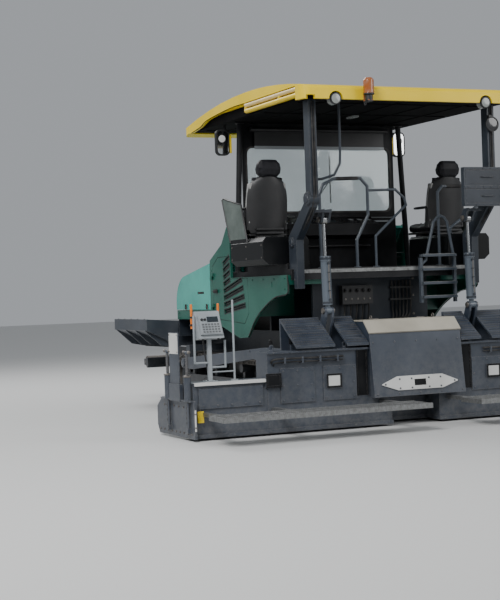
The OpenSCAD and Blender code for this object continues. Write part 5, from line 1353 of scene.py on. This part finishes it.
def dress_end_plates():
    for side, s in SIDES:
        bits, chains, white, amber = Shape(), Shape(), Shape(), Shape()
        y, normal = s * (END_Y + 0.046), Y * s
        for x in (SCREED_BACK + 0.06, -1.84):
            for k in (-1, 1):
                bits.lathe((x + k * 0.055, y, SOLE_Z + 0.9), X * k, SPINDLE_CAP, 20)
            bits.lathe((x, y, SOLE_Z + 0.64), Z, COLLAR, 28)
            for k in range(22):
                bits.lathe((x, y, SOLE_Z + 0.67 + k * 0.0095), Z, THREAD, 18)
            for k in range(9):
                place = vec(x + 0.032, y, SOLE_Z + 0.14 + 0.026 * k)
                turn = Matrix.Rotation(math.pi / 2 * (k % 2), 3, "Z")
                points = [place + turn @ vec(0.009 * a, 0, 0.0165 * b) for a, b in circle(1, 8)]
                chains.tube(points + [points[0]], 0.003, 6, 1)
        for start, gap, count, z in ((0.02, 0.115, 9, 0.05), (0.1, 0.14, 6, 0.32)):
            for k in range(count):
                bits.bolt((SCREED_BACK + start + k * gap, s * (END_Y + 0.026), SOLE_Z + z), normal, 0.010)
        y0, y1 = sorted((s * (END_Y + 0.0522), s * (END_Y + 0.0555)))
        white.box((-2.18, y0, 0.90), (-1.93, y1, 1.118))
        for x in (-2.165, -1.945):
            for z in (0.92, 1.10):
                bits.bolt((x, s * (END_Y + 0.0555), z), normal, 0.006)
        x, y = SCREED_BACK - 0.066, s * (END_Y + 0.016)
        white.rod((x, y, 0.11), (x, y, 0.33), 0.009, 14)
        for z in (0.15, 0.29):
            bits.block((x - 0.0005, s * (END_Y + 0.013), z), (0.0115, 0.014, 0.006))
        y0, y1 = sorted((s * (END_Y - 0.1), s * (END_Y - 0.03)))
        amber.box((SCREED_BACK - 0.008, y0, 0.19), (SCREED_BACK + 0.0006, y1, 0.31))
        add_all("screed_" + side, "_" + side, ("end_plate_bits", bits, "wear_steel", 0.0008),
                ("end_plate_chains", chains, "link_steel"), ("end_plate_panel", white, "white_paint", 0.001),
                ("end_plate_tab", amber, "roof_gelcoat", 0.001))


# Consoles at the screed's ends
CABLE = ((0.01, 0.06, 0.41), (0.01, 0.055, 0.35), (0.025, 0.03, 0.22), (0.024, 0.012, 0.10),
         (0.03, 0.012, 0.02))
BUTTON = ((0.014, -0.001), (0.013, 0.014), (0.010, 0.018), (0.001, 0.019))


def dress_consoles():
    for side, s in SIDES:
        foot = vec(SCREED_BACK + 0.13, s * (END_Y - 0.24), BOLT_ON_TOP)
        low = foot + vec(-0.1, 0, 0.5)
        rise = vec(0.09, 0, 0.2).normalized()
        normal = vec(-rise.z, 0, rise.x)
        turn = Matrix((normal, Y, normal.cross(Y))).transposed()
        keys, box, glow, grips, knobs = Shape(), Shape(), Shape(), Shape(), Shape()

        def at(u, v, lift):
            return low + rise * u + Y * s * v + normal * lift

        def plate(shape, u0, u1, v0, v1, h0, h1):
            shape.block(at((u0 + u1) / 2, (v0 + v1) / 2, (h0 + h1) / 2),
                        ((h1 - h0) / 2, (v1 - v0) / 2, (u1 - u0) / 2), turn)

        plate(box, 0.008, 0.211, -0.112, 0.112, -0.002, 0.006)
        plate(glow, 0.135, 0.198, -0.095, 0.03, 0.006, 0.0075)
        for u in (0.018 + i * 0.028 for i in range(4)):
            for v in (-0.098 + k * 0.034 for k in range(6)):
                plate(keys, u, u + 0.018, v, v + 0.024, 0.005, 0.0095)
        for v in (0.055, 0.09):
            knobs.lathe(at(0.165, v, 0.006), normal, BUTTON, 20)
        for v in (-0.152, 0.152):
            grip = foot + vec(0.09, v, 0)
            grips.rod(grip + Z * 0.56, grip + Z * 0.81, 0.0125, 18)
            grips.lathe(grip + Z * 0.81, Z, [(0.0125, -0.001), (0.011, 0.006), (0.001, 0.009)], 18)
            for z in (0.6, 0.68):
                knobs.block(grip + Z * z, (0.018, 0.016, 0.009))
        knobs.rod(foot + vec(-0.02, -0.1, 0.455), foot + vec(-0.02, -0.1, 0.44), 0.013, 16)
        knobs.rod(foot + vec(0.01, 0.06, 0.455), foot + vec(0.01, 0.06, 0.40), 0.011, 14)
        knobs.tube([foot + Vector(p) for p in CABLE], 0.008, 10, 8)
        for y in (-0.045, 0.045):
            for x in (-0.045, 0.045):
                knobs.bolt(foot + vec(x, y, 0.0153), Z, 0.009)
        add_all("screed_" + side, "_" + side, ("console_panel", box, "console_paint", 0.002),
                ("console_keys", keys, "keypad", 0.001), ("console_display", glow, "display"),
                ("console_grips", grips, "orange_grip"), ("console_knobs", knobs, "black_plastic", 0.001))


for step in (make_camera, make_stage, dress_nodes, dress_tracks, dress_undercarriages, dress_doors,
             dress_body, dress_hood, dress_hopper, dress_augers, dress_conveyor, dress_platform, dress_dash,
             dress_windscreen, dress_seats, dress_pods, dress_roof, dress_beacon, dress_mirrors, dress_posts,
             dress_locker, dress_rails, dress_rear_wall, dress_lifts, dress_extensions, dress_boards,
             dress_steps, dress_cover, dress_tow_arms, dress_end_plates, dress_consoles):
    step()
